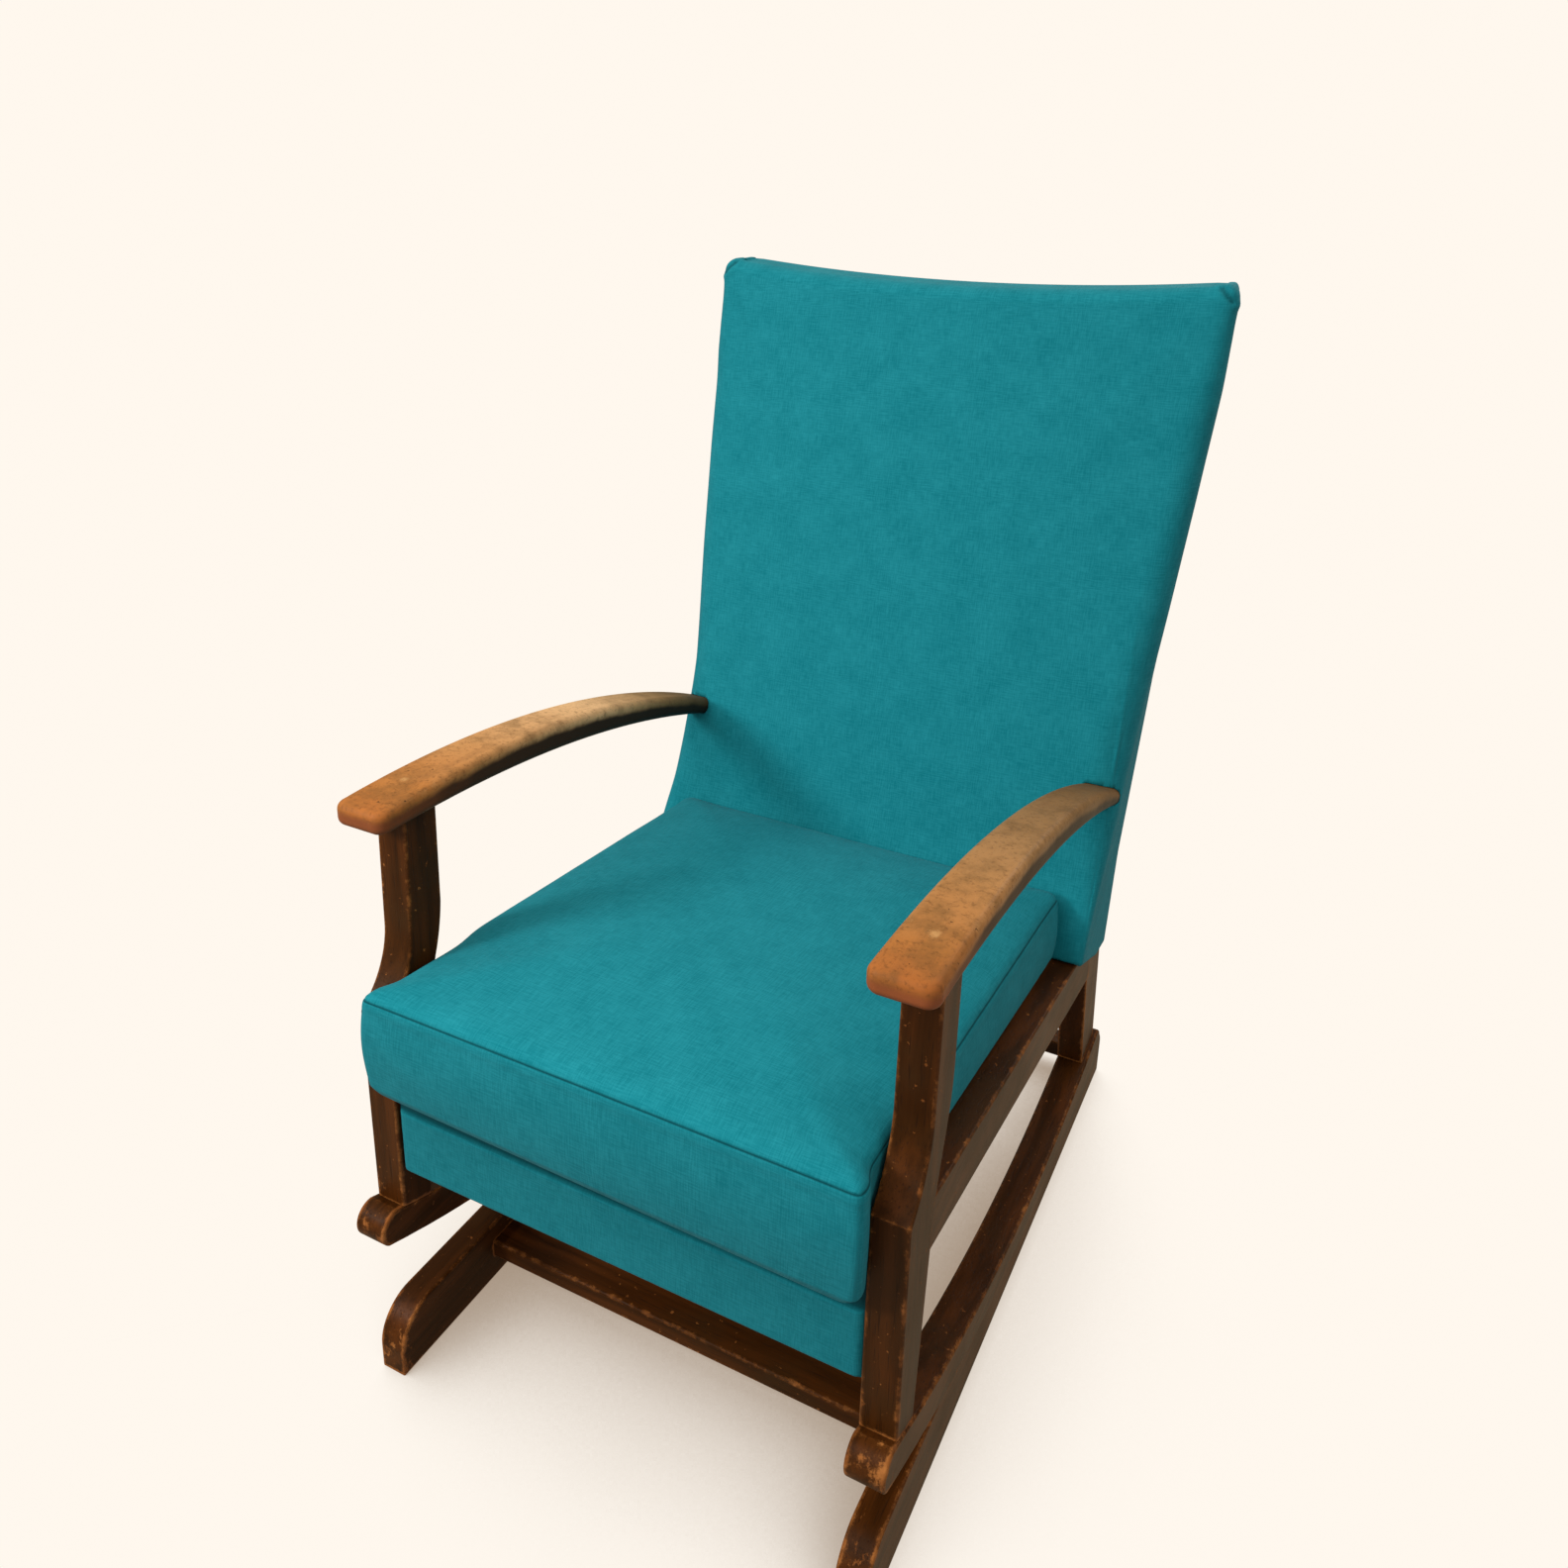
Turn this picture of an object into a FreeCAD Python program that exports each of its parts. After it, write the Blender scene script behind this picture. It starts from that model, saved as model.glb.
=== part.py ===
import FreeCAD
import Part
import Sketcher
import math
import os
import re

# An upholstered platform rocker: a chair on curved rockers that roll on a separate floor base.
# Millimetres, Z up, Y towards the back of the chair. Left and right are as seen from the front,
# so right is +X. Sizes that end in _y are measured backwards from the front legs' front faces.

SIZES = {
    # place of the front leg faces along Y
    "front_y": -394.7,
    # floor base
    "runner_outer": 266.0,
    "runner_width": 30.0,
    "runner_top": 69.0,
    "runner_front_y": -24.0,
    "runner_rear_y": 778.0,
    "runner_front_radius": 42.0,
    "runner_rear_radius": 25.0,
    "stretcher_front_y": 116.0,
    "stretcher_front_depth": 50.0,
    "stretcher_rear_y": 742.0,
    "stretcher_rear_depth": 30.0,
    "stretcher_bottom": 27.0,
    "stretcher_thick": 21.0,
    "stretcher_housing": 12.0,
    # rockers
    "contact_y": 447.0,
    "contact_gap": 0.5,
    "rocker_inner": 242.0,
    "rocker_width": 36.0,
    "rocker_radius": 1250.0,
    "rocker_depth": 36.0,
    "rocker_front": 469.0,
    "rocker_rear": 243.0,
    "rocker_blend_radius": 800.0,
    "rocker_tip_radius": 18.6,
    "rock_angle": 6.0,
    "foot_gap": 0.05,
    "wood_edge": 2.5,
    # front posts
    "leg_outer": 276.0,
    "leg_width": 34.0,
    "leg_blank_z": 150.0,
    "leg_blank_back_y": 35.7,
    "leg_back_y": 56.5,
    "leg_back_z": 392.0,
    "crease_z": 405.0,
    "neck_y": 38.0,
    "neck_z": 480.0,
    "neck_radius": 93.0,
    "nape_low_y": 69.0,
    "nape_low_z": 435.0,
    "nape_high_y": 81.0,
    "nape_high_z": 490.0,
    "nape_radius": 213.0,
    "post_top_front_y": 41.0,
    "post_top_back_y": 83.0,
    "post_top_z": 606.0,
    # arms
    "arm_front_y": -2.0,
    "arm_front_top": 620.0,
    "arm_front_bottom": 598.0,
    "arm_rear_top": 493.0,
    "arm_rear_bottom": 476.0,
    "arm_top_radius": 1370.0,
    "arm_under_radius": 1840.0,
    "arm_front_inner": 227.0,
    "arm_front_outer": 285.0,
    "arm_rear_inner": 245.0,
    "arm_rear_outer": 283.0,
    "arm_corner_radius": 12.0,
    "arm_edge_radius": 7.5,
    "arm_blank_length": 660.0,
    "arm_blank_margin": 10.0,
    "arm_rim_length": 600.0,
    # rear legs and back posts
    "rear_inner": 242.0,
    "rear_outer": 272.5,
    "rear_blank_z": 90.0,
    "rear_blank_front_y": 630.0,
    "rear_blank_back_y": 682.0,
    "kink_z": 305.0,
    "kink_front_y": 587.0,
    "kink_back_y": 649.0,
    "back_lean": 0.25,
    "rear_lean": 0.2222,
    "back_top_z": 1030.0,
    "back_top_inner": 274.0,
    "back_top_outer": 300.0,
    # seat frame
    "rail_inner": 242.5,
    "rail_outer": 274.0,
    "rail_zero_z": 395.0,
    "rail_slope": 0.138,
    "rail_height": 53.5,
    "rail_blank_front_y": 30.0,
    "rail_blank_rear_y": 620.0,
    "front_rail_y": 8.0,
    "front_rail_thick": 24.0,
    "front_rail_bottom": 243.0,
    "front_rail_top": 340.0,
    "rear_rail_y": 602.0,
    "rear_rail_thick": 24.0,
    "rear_rail_bottom": 240.0,
    "rear_rail_top": 286.0,
    "block_leg": 52.0,
    "block_bottom": 250.0,
    "block_height": 34.0,
    # back frame
    "back_rail_inset": 3.0,
    "back_rail_thick": 22.0,
    "back_rail_spare": 2.0,
    "low_rail_bottom": 345.0,
    "low_rail_top": 385.0,
    "top_rail_bottom": 975.0,
    "top_rail_top": 1028.0,
    # webbing and deck
    "strap_width": 50.0,
    "strap_thick": 2.5,
    "seat_strap_count": 5,
    "seat_strap_step": 92.0,
    "back_strap_count": 4,
    "back_strap_step": 118.0,
    "deck_thick": 1.5,
    "deck_half_width": 238.0,
    "layer_gap": 0.1,
    # apron
    "apron_half_width": 241.0,
    "apron_bottom": 239.0,
    "apron_top": 341.0,
    "apron_edge_y": 3.5,
    "apron_bow_radius": 435.0,
    # seat cushion
    "cushion_front_y": -26.0,
    "cushion_length": 566.0,
    "cushion_half_width": 237.5,
    "cushion_bow": 3.0,
    "cushion_border": 96.0,
    "cushion_crown": 19.0,
    "cushion_draw": 14.0,
    "cushion_tuck": 0.45,
    "cushion_back_gap": 4.0,
    # back upholstery
    "pad_bottom": 292.0,
    "pad_low_z": 560.0,
    "pad_high_z": 960.0,
    "pad_blank_z": 1064.0,
    "pad_bottom_half": 279.0,
    "pad_low_half": 286.5,
    "pad_high_half": 322.0,
    "pad_blank_half": 324.0,
    "pad_face_y": 525.0,
    "pad_face_z": 323.0,
    "pad_lean": 0.297,
    "pad_crown": 10.0,
    "pad_low_radius": 42.0,
    "pad_high_radius": 22.0,
    "pad_top_radius": 16.0,
    "pad_top_z": 1039.0,
    "pad_dip_radius": 3000.0,
    "pad_frame_gap": 0.4,
    "hollow_drop": 20.0,
    "hollow_reach": 60.0,
    "rail_room_front_y": 400.0,
    "rail_room_depth": 4.0,
    "cover_thick": 3.5,
    "cover_inset": 3.0,
    # springs and their plates
    "base_plate_half": 38.0,
    "chair_plate_half": 22.0,
    "chair_plate_front_y": 603.0,
    "plate_beside_spring": 13.5,
    "plate_corner": 6.0,
    "plate_thick": 4.0,
    "spring_x": 110.0,
    "spring_y": 757.0,
    "spring_radius": 11.0,
    "spring_wire": 4.0,
    "spring_turns": 18.0,
    "spring_end_turns": 2.0,
    "spring_end_gap": 0.8,
    "spring_stud_radius": 7.5,
    "spring_stud_height": 10.0,
    # fasteners
    "base_screw_offset": 27.0,
    "chair_screw_offset": 12.0,
    "chair_screw_y": 614.0,
    "screw_shank": 2.2,
    "screw_length": 16.0,
    "screw_head": 4.5,
    "screw_head_height": 2.4,
    "dowel_radius": 4.75,
    "dowel_length": 36.0,
    "dowel_inset": 10.0,
    "front_leg_dowel_y": 19.0,
    "rear_leg_dowel_y": 650.0,
    "arm_dowel_y": 62.0,
    "arm_dowel_z": 597.0,
    "front_rail_dowel_y": 20.0,
    "front_rail_dowel_inset": 26.0,
    "side_rail_front_low": 350.0,
    "side_rail_front_high": 372.0,
    "side_rail_rear_low": 284.0,
    "side_rail_rear_high": 302.0,
    "rear_dowel_step": 18.0,
    "bore_gap": 0.2,
    # reach of the blocks that trim other pieces
    "trim_reach": 400.0,
    "trim_low": 200.0,
    "trim_high": 600.0,
    "trim_back_y": 800.0,
    "dip_front_y": 500.0,
}

doc = FreeCAD.newDocument("platform_rocker")
sheet = doc.addObject("Spreadsheet::Sheet", "Sizes")
for row, (alias, number) in enumerate(SIZES.items(), start=1):
    sheet.set(f"A{row}", alias)
    sheet.set(f"B{row}", str(number))
    sheet.setAlias(f"B{row}", alias)
doc.recompute()


def bound(text):
    """Turn a formula of plain size names into one that reads the sheet's cells."""
    return re.sub(r"[a-z]+(?:_[a-z]+)+", lambda word: f"<<Sizes>>.{word.group()}", str(text))


def value(text):
    """Number that a formula of size names gives now."""
    return float(sheet.evalExpression(bound(text)))


def bind(obj, **formulas):
    """Bind properties to the sheet; a double underscore stands for a dot in the property's path."""
    for name, text in formulas.items():
        obj.setExpression(name.replace("__", "."), bound(text))


# Formulas that several pieces share

ARC_Z = "runner_top + contact_gap + rocker_radius"
TOP_ARC = "rocker_radius - rocker_depth"


def post_front(z):
    return f"kink_front_y + ({z} - kink_z) * back_lean"


def post_back(z):
    return f"kink_back_y + ({z} - kink_z) * rear_lean"


def pad_face(z):
    return f"pad_face_y + ({z} - pad_face_z) * pad_lean"


REAR_REST_Y = "(rear_rail_y + rear_rail_thick)"
FRONT_REST_Y = "(front_rail_y + front_rail_thick)"
DECK_SLOPE = f"((front_rail_top - rear_rail_top) / ({REAR_REST_Y} - {FRONT_REST_Y}))"


def deck_line(y, lift="0"):
    """Height of the webbing's underside at y, which rests on the front and rear seat rails."""
    return f"rear_rail_top + layer_gap + ({REAR_REST_Y} - ({y})) * {DECK_SLOPE} + {lift}"


# Sketches and solids

def plane_of(body, role):
    for feature in body.Origin.OriginFeatures:
        if feature.Role == role:
            return feature
    raise ValueError(role)


def new_body(label):
    body = doc.addObject("PartDesign::Body", label)
    body.Label = label
    bind(body, Placement__Base__y="front_y")
    return body


def arc_between(start, end, radius, side):
    """Arc of under a half circle; side +1 has its centre on the left of the way from start to end."""
    chord = end - start
    middle = (start + end) * 0.5
    left = FreeCAD.Vector(-chord.y, chord.x, 0).normalize()
    rise = math.sqrt(radius ** 2 - (chord.Length / 2) ** 2)
    centre = middle + left * (side * rise)
    first, last = (start, end) if side > 0 else (end, start)
    angles = [math.atan2(point.y - centre.y, point.x - centre.x) for point in (first, last)]
    if angles[1] < angles[0]:
        angles[1] += 2 * math.pi
    return Part.ArcOfCircle(Part.Circle(centre, FreeCAD.Vector(0, 0, 1), radius), angles[0], angles[1])


def outline(body, role, corners, offset="0"):
    """Closed sketch through corners (across, up) or (across, up, radius, side).

    A radius bends the edge that leaves its corner. Every corner and radius is bound to the sheet.
    """
    sketch = body.newObject("Sketcher::SketchObject", "Outline")
    sketch.AttachmentSupport = [(plane_of(body, role), "")]
    sketch.MapMode = "FlatFace"
    bind(sketch, AttachmentOffset__Base__z=offset)
    points = [FreeCAD.Vector(value(corner[0]), value(corner[1]), 0) for corner in corners]
    ends = []
    for index, corner in enumerate(corners):
        start = points[index]
        end = points[(index + 1) % len(points)]
        if len(corner) == 2:
            sketch.addGeometry(Part.LineSegment(start, end))
            ends.append((1, 2))
        else:
            sketch.addGeometry(arc_between(start, end, value(corner[2]), corner[3]))
            ends.append((1, 2) if corner[3] > 0 else (2, 1))
    for index in range(len(corners)):
        following = (index + 1) % len(corners)
        joint = Sketcher.Constraint("Coincident", index, ends[index][1], following, ends[following][0])
        sketch.addConstraint(joint)
    for index, corner in enumerate(corners):
        for kind, text in (("DistanceX", corner[0]), ("DistanceY", corner[1])):
            place = Sketcher.Constraint(kind, -1, 1, index, ends[index][0], value(text))
            number = sketch.addConstraint(place)
            sketch.setExpression(f"Constraints[{number}]", bound(text))
        if len(corner) == 4:
            number = sketch.addConstraint(Sketcher.Constraint("Radius", index, value(corner[2])))
            sketch.setExpression(f"Constraints[{number}]", bound(corner[2]))
    return sketch


def ease(body, feature, wanted):
    """Round the edges of a wooden piece that the test wanted picks."""
    doc.recompute()
    names = [f"Edge{number}" for number, edge in enumerate(feature.Shape.Edges, start=1) if wanted(edge)]
    fillet = body.newObject("PartDesign::Fillet", "Eased")
    fillet.Base = (feature, names)
    bind(fillet, Radius="wood_edge")
    body.Tip = fillet


def in_side_plane(edge):
    return edge.BoundBox.XLength < 0.01


def runs_across(edge):
    return edge.BoundBox.XLength > value("rear_inner")


def slab(label, role, corners, offset, length, eased=None):
    """Body with one outline, pushed out by length from offset along its plane's normal."""
    body = new_body(label)
    pad = body.newObject("PartDesign::Pad", "Pad")
    pad.Profile = outline(body, role, corners, offset)
    bind(pad, Length=length)
    if eased:
        ease(body, pad, eased)
    return body


def loft(label, sections):
    """Body lofted straight through rectangles (z, x0, x1, y0, y1)."""
    body = new_body(label)
    sketches = []
    for z, x0, x1, y0, y1 in sections:
        corners = [(x0, y0), (x1, y0), (x1, y1), (x0, y1)]
        sketches.append(outline(body, "XY_Plane", corners, z))
    feature = body.newObject("PartDesign::AdditiveLoft", "Loft")
    feature.Profile = sketches[0]
    feature.Sections = sketches[1:]
    feature.Ruled = True
    return body


def boolean(kind, label, base, tool):
    result = doc.addObject(f"Part::{kind}", label)
    result.Label = label
    result.Base = base
    result.Tool = tool
    return result


def mirrored(label, source):
    twin = doc.addObject("Part::Mirroring", label)
    twin.Label = label
    twin.Source = source
    twin.Normal = FreeCAD.Vector(1, 0, 0)
    return twin


def feature(label, shape):
    """Piece whose shape is worked out here from the sheet's sizes."""
    piece = doc.addObject("Part::Feature", label)
    piece.Label = label
    piece.Shape = shape
    bind(piece, Placement__Base__y="front_y")
    return piece


def cylinder(label, radius, height, x, y, z):
    """Upright cylinder on the point x, y, z."""
    piece = doc.addObject("Part::Cylinder", label)
    piece.Label = label
    bind(piece, Radius=radius, Height=height)
    bind(piece, Placement__Base__x=x, Placement__Base__y=f"front_y + {y}", Placement__Base__z=z)
    return piece


def lying_cylinder(label, radius, centre_y, centre_z, half_length):
    """Cylinder along X, used to trim pieces."""
    piece = doc.addObject("Part::Cylinder", label)
    piece.Label = label
    piece.Placement.Rotation = FreeCAD.Rotation(FreeCAD.Vector(0, 1, 0), 90)
    bind(piece, Radius=radius, Height=f"2 * ({half_length})")
    bind(piece, Placement__Base__x=f"0 - ({half_length})")
    bind(piece, Placement__Base__y=f"front_y + {centre_y}", Placement__Base__z=centre_z)
    return piece


pieces = []


def keep(*objects):
    pieces.extend(objects)


def keep_pair(name, right):
    """Hand in a right-hand piece and its mirror image."""
    right.Label = f"{name}_right"
    keep(mirrored(f"{name}_left", right), right)


# Fasteners come first, because the other pieces are bored for them

AXES = {"X": FreeCAD.Vector(1, 0, 0), "Y": FreeCAD.Vector(0, 1, 0), "Z": FreeCAD.Vector(0, 0, 1)}


def rocker_top(y):
    return f"{ARC_Z} - sqrt(pow({TOP_ARC}; 2) - pow({y} - contact_y; 2))"


def leg_back(z):
    rake = "(leg_back_y - leg_blank_back_y) / (leg_back_z - leg_blank_z)"
    return f"leg_blank_back_y + ({z} - leg_blank_z) * {rake}"


def rear_leg_front(z):
    rake = "(rear_blank_front_y - kink_front_y) / (kink_z - rear_blank_z)"
    return f"kink_front_y + (kink_z - {z}) * {rake}"


def back_inner(z):
    return f"rear_inner + ({z} - kink_z) * (back_top_inner - rear_inner) / (back_top_z - kink_z)"


LEG_INNER = "leg_outer - leg_width"
LEG_MIDDLE = "leg_outer - leg_width / 2"
RAIL_MIDDLE = "(rail_inner + rail_outer) / 2"
RAIL_BACK_MIDDLE = "back_rail_inset + back_rail_thick / 2"

REAR_RAIL_MIDDLE = "rear_rail_y + rear_rail_thick / 2"
REAR_DOWEL_Z = "rear_rail_bottom + dowel_inset"

# Middle of each right-hand dowel, on the joint that it holds, and its direction
DOWELS = [
    (LEG_MIDDLE, "front_leg_dowel_y", rocker_top("front_leg_dowel_y"), "Z"),
    ("(rear_inner + rear_outer) / 2", "rear_leg_dowel_y", rocker_top("rear_leg_dowel_y"), "Z"),
    (LEG_MIDDLE, "arm_dowel_y", "arm_dowel_z", "Z"),
    (LEG_INNER, "front_rail_dowel_y", "front_rail_bottom + front_rail_dowel_inset", "X"),
    (LEG_INNER, "front_rail_dowel_y", "front_rail_top - front_rail_dowel_inset", "X"),
    (RAIL_MIDDLE, leg_back("side_rail_front_low"), "side_rail_front_low", "Y"),
    (RAIL_MIDDLE, leg_back("side_rail_front_high"), "side_rail_front_high", "Y"),
    ("rail_inner + dowel_inset", rear_leg_front("side_rail_rear_low"), "side_rail_rear_low", "Y"),
    ("rail_inner + dowel_inset", rear_leg_front("side_rail_rear_high"), "side_rail_rear_high", "Y"),
    ("rear_inner", REAR_RAIL_MIDDLE, REAR_DOWEL_Z, "X"),
    ("rear_inner", REAR_RAIL_MIDDLE, f"{REAR_DOWEL_Z} + rear_dowel_step", "X"),
]
for level in (
    "low_rail_bottom + dowel_inset",
    "low_rail_top - dowel_inset",
    "top_rail_bottom + dowel_inset",
    "top_rail_top - dowel_inset",
):
    DOWELS.append((back_inner(level), f"{post_front(level)} + {RAIL_BACK_MIDDLE}", level, "X"))


def pins(radius, length, places):
    solids = []
    for x, y, z, axis in places:
        middle = FreeCAD.Vector(value(x), value(y), value(z))
        start = middle - AXES[axis] * (length / 2)
        solids.append(Part.makeCylinder(radius, length, start, AXES[axis]))
    return Part.makeCompound(solids)


def with_twin(name, right):
    """Group of a right-hand set and its mirror image."""
    group = doc.addObject("Part::Compound", name)
    group.Label = name
    group.Links = [right, mirrored(f"{name}_twin", right)]
    return group


gap = value("bore_gap")
dowel_radius = value("dowel_radius")
dowel_length = value("dowel_length")
dowels_right = feature("dowels_right", pins(dowel_radius, dowel_length, DOWELS))
bores_right = feature("dowel_bores_right", pins(dowel_radius + gap, dowel_length + 2 * gap, DOWELS))
bores = with_twin("dowel_bores", bores_right)
keep(with_twin("frame_dowels", dowels_right))


def screws(clearance, end, y, plate_z, way):
    """Two screws side by side, driven along way through a level plate at plate_z."""
    shank = value("screw_shank") + clearance
    height = value("screw_head_height")
    solids = []
    for step in (-1, 1):
        x = value("spring_x") + step * value(f"{end}_screw_offset")
        place = FreeCAD.Vector(x, value(y), plate_z)
        screw = Part.makeCylinder(shank, value("screw_length") + clearance, place, way)
        if not clearance:
            head = Part.makeCylinder(value("screw_head"), height, place, way * -1)
            rim = [edge for edge in head.Edges if (edge.CenterOfMass - place).dot(way) < -0.75 * height]
            screw = screw.fuse(head.makeFillet(height / 2, rim)).removeSplitter()
        solids.append(screw)
    return Part.makeCompound(solids)


DOWN = AXES["Z"] * -1
STRETCHER_TOP = "stretcher_bottom + stretcher_thick"
LOW_SEAT_Z = f"({STRETCHER_TOP} + plate_thick)"
HIGH_SEAT_Z = "(rear_rail_bottom - plate_thick)"
LOW = ("base", "spring_y", value(LOW_SEAT_Z), DOWN)
HIGH = ("chair", "chair_screw_y", value(HIGH_SEAT_Z), AXES["Z"])
low_screws = feature("low_screws", screws(0, *LOW))
low_holes = feature("low_screw_holes", screws(gap, *LOW))
high_screws = feature("high_screws", screws(0, *HIGH))
high_holes = feature("high_screw_holes", screws(gap, *HIGH))
keep(with_twin("base_plate_screws", low_screws), with_twin("chair_plate_screws", high_screws))

# Floor base

RUNNER_INNER = "runner_outer - runner_width"


def stretcher(name, end):
    front = f"stretcher_{end}_y"
    back = f"{front} + stretcher_{end}_depth"
    corners = [
        (front, "stretcher_bottom"),
        (back, "stretcher_bottom"),
        (back, STRETCHER_TOP),
        (front, STRETCHER_TOP),
    ]
    half = f"({RUNNER_INNER} + stretcher_housing)"
    return slab(name, "YZ_Plane", corners, f"0 - {half}", f"2 * {half}", runs_across)


stretchers = [
    stretcher("stretcher_front", "front"),
    stretcher("stretcher_rear_blank", "rear"),
]
keep(stretchers[0])
keep(boolean("Cut", "stretcher_rear", stretchers[1], with_twin("low_hole_pair", low_holes)))

runner = slab("runner_blank", "YZ_Plane", [
    ("runner_front_y", "0"),
    ("runner_rear_y", "0"),
    ("runner_rear_y", "runner_top - runner_rear_radius", "runner_rear_radius", 1),
    ("runner_rear_y - runner_rear_radius", "runner_top"),
    ("runner_front_y + runner_front_radius", "runner_top", "runner_front_radius", 1),
    ("runner_front_y", "runner_top - runner_front_radius"),
], RUNNER_INNER, "runner_width", in_side_plane)
for number, bar in enumerate(stretchers):
    runner = boolean("Cut", f"runner_housed_{number}", runner, bar)
keep_pair("runner", runner)

# Rockers. The underside is straight for a way on both sides of the line of contact, so that the
# chair can turn about that line by the rock angle without biting into the runner.

CONTACT_Z = "runner_top + contact_gap"


def underside(reach):
    return f"{ARC_Z} - sqrt(pow(rocker_radius; 2) - pow({reach}; 2))"


def over(reach, axis):
    """Point of the top arc above the underside's point at that reach."""
    turn = f"asin({reach} / rocker_radius)"
    if axis == "y":
        return f"({TOP_ARC}) * sin({turn})"
    return f"{ARC_Z} - ({TOP_ARC}) * cos({turn})"


# The blend's arc touches the straight part and the rocker's arc smoothly
TURN_REACH = "rocker_radius * sin(rock_angle)"
BLEND_LOSS = "2 * rocker_radius * rocker_blend_radius * (1 - cos(rock_angle))"
STRAIGHT = f"({TURN_REACH} + sqrt(pow({TURN_REACH}; 2) - {BLEND_LOSS}))"
FLAT_REACH = f"{STRAIGHT} * cos(rock_angle)"
BLEND_CENTRE = f"({STRAIGHT} * cos(rock_angle) - rocker_blend_radius * sin(rock_angle))"
BLEND_REACH = f"{BLEND_CENTRE} * rocker_radius / (rocker_radius - rocker_blend_radius)"

rocker = slab("rocker_blank", "YZ_Plane", [
    ("contact_y", CONTACT_Z),
    ("contact_y + rocker_rear", f"{CONTACT_Z} + rocker_rear * tan(rock_angle)", "rocker_tip_radius", 1),
    (f"contact_y + {over('rocker_rear', 'y')}", over("rocker_rear", "z"), TOP_ARC, -1),
    (f"contact_y - {over('rocker_front', 'y')}", over("rocker_front", "z"), "rocker_tip_radius", 1),
    ("contact_y - rocker_front", underside("rocker_front"), "rocker_radius", 1),
    (f"contact_y - {BLEND_REACH}", underside(BLEND_REACH), "rocker_blend_radius", 1),
    (f"contact_y - {FLAT_REACH}", f"{CONTACT_Z} + {STRAIGHT} * sin(rock_angle)"),
], "rocker_inner", "rocker_width", in_side_plane)
keep_pair("rocker", boolean("Cut", "rocker_bored", rocker, bores))

# The legs stand on the rockers' top arc
foot_trim = lying_cylinder("foot_trim", f"{TOP_ARC} - foot_gap", "contact_y", ARC_Z, "trim_reach")

# Arms: an arched board, cut to a tapering plan

arm_side = slab("arm_side", "YZ_Plane", [
    ("arm_front_y", "arm_front_bottom", "arm_under_radius", -1),
    (f"{post_front('arm_rear_bottom')} - layer_gap", "arm_rear_bottom"),
    (f"{post_front('arm_rear_top')} - layer_gap", "arm_rear_top", "arm_top_radius", 1),
    ("arm_front_y", "arm_front_top"),
], "arm_front_inner - arm_blank_margin", "arm_front_outer - arm_front_inner + 2 * arm_blank_margin")

arm_plan = slab("arm_plan", "XY_Plane", [
    ("arm_front_inner + arm_corner_radius", "arm_front_y"),
    ("arm_front_outer - arm_corner_radius", "arm_front_y", "arm_corner_radius", 1),
    ("arm_front_outer", "arm_front_y + arm_corner_radius"),
    ("arm_rear_outer", "arm_front_y + arm_blank_length"),
    ("arm_rear_inner", "arm_front_y + arm_blank_length"),
    ("arm_front_inner", "arm_front_y + arm_corner_radius", "arm_corner_radius", 1),
], "arm_rear_bottom - arm_blank_margin", "arm_front_top - arm_rear_bottom + 2 * arm_blank_margin")

arm_blank = boolean("Common", "arm_blank", arm_side, arm_plan)
doc.recompute()


def on_arm_rim(edge):
    box = edge.BoundBox
    upright = box.XLength < 1 and box.YLength < 1
    at_the_rear = box.YMin > value("front_y + arm_front_y + arm_rim_length")
    return not upright and not at_the_rear


arm = doc.addObject("Part::Fillet", "arm_eased")
arm.Base = arm_blank
arm_radius = value("arm_edge_radius")
arm.Edges = [
    (number, arm_radius, arm_radius)
    for number, edge in enumerate(arm_blank.Shape.Edges, start=1) if on_arm_rim(edge)
]
arm = boolean("Cut", "arm_bored", arm, bores)
keep_pair("arm", arm)

# Front posts: straight leg, crease, then a set-back neck up to the arm

front_post = slab("front_post_blank", "YZ_Plane", [
    ("0", "leg_blank_z"),
    ("leg_blank_back_y", "leg_blank_z"),
    ("leg_back_y", "leg_back_z"),
    ("nape_low_y", "nape_low_z", "nape_radius", 1),
    ("nape_high_y", "nape_high_z"),
    ("post_top_back_y", "post_top_z"),
    ("post_top_front_y", "post_top_z"),
    ("neck_y", "neck_z", "neck_radius", -1),
    ("0", "crease_z"),
], LEG_INNER, "leg_width", in_side_plane)
front_post = boolean("Common", "front_post_footed", front_post, foot_trim)
front_post = boolean("Cut", "front_post_topped", front_post, arm)
front_post = boolean("Cut", "front_post_bored", front_post, bores)
keep_pair("front_post", front_post)

# Rear posts: a leg that rakes backwards to the floor, and above the seat a post that leans back

POST_TOP_FRONT = post_front("back_top_z")
POST_TOP_BACK = post_back("back_top_z")
rear_post = loft("rear_post_blank", [
    ("rear_blank_z", "rear_inner", "rear_outer", "rear_blank_front_y", "rear_blank_back_y"),
    ("kink_z", "rear_inner", "rear_outer", "kink_front_y", "kink_back_y"),
    ("back_top_z", "back_top_inner", "back_top_outer", POST_TOP_FRONT, POST_TOP_BACK),
])
rear_post = boolean("Common", "rear_post_footed", rear_post, foot_trim)
rear_post_bored = boolean("Cut", "rear_post_bored", rear_post, bores)
keep_pair("rear_post", rear_post_bored)
rear_post_twin = mirrored("rear_post_twin", rear_post)

# Seat frame


def rail_top(y):
    return f"rail_zero_z - {y} * rail_slope"


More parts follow.
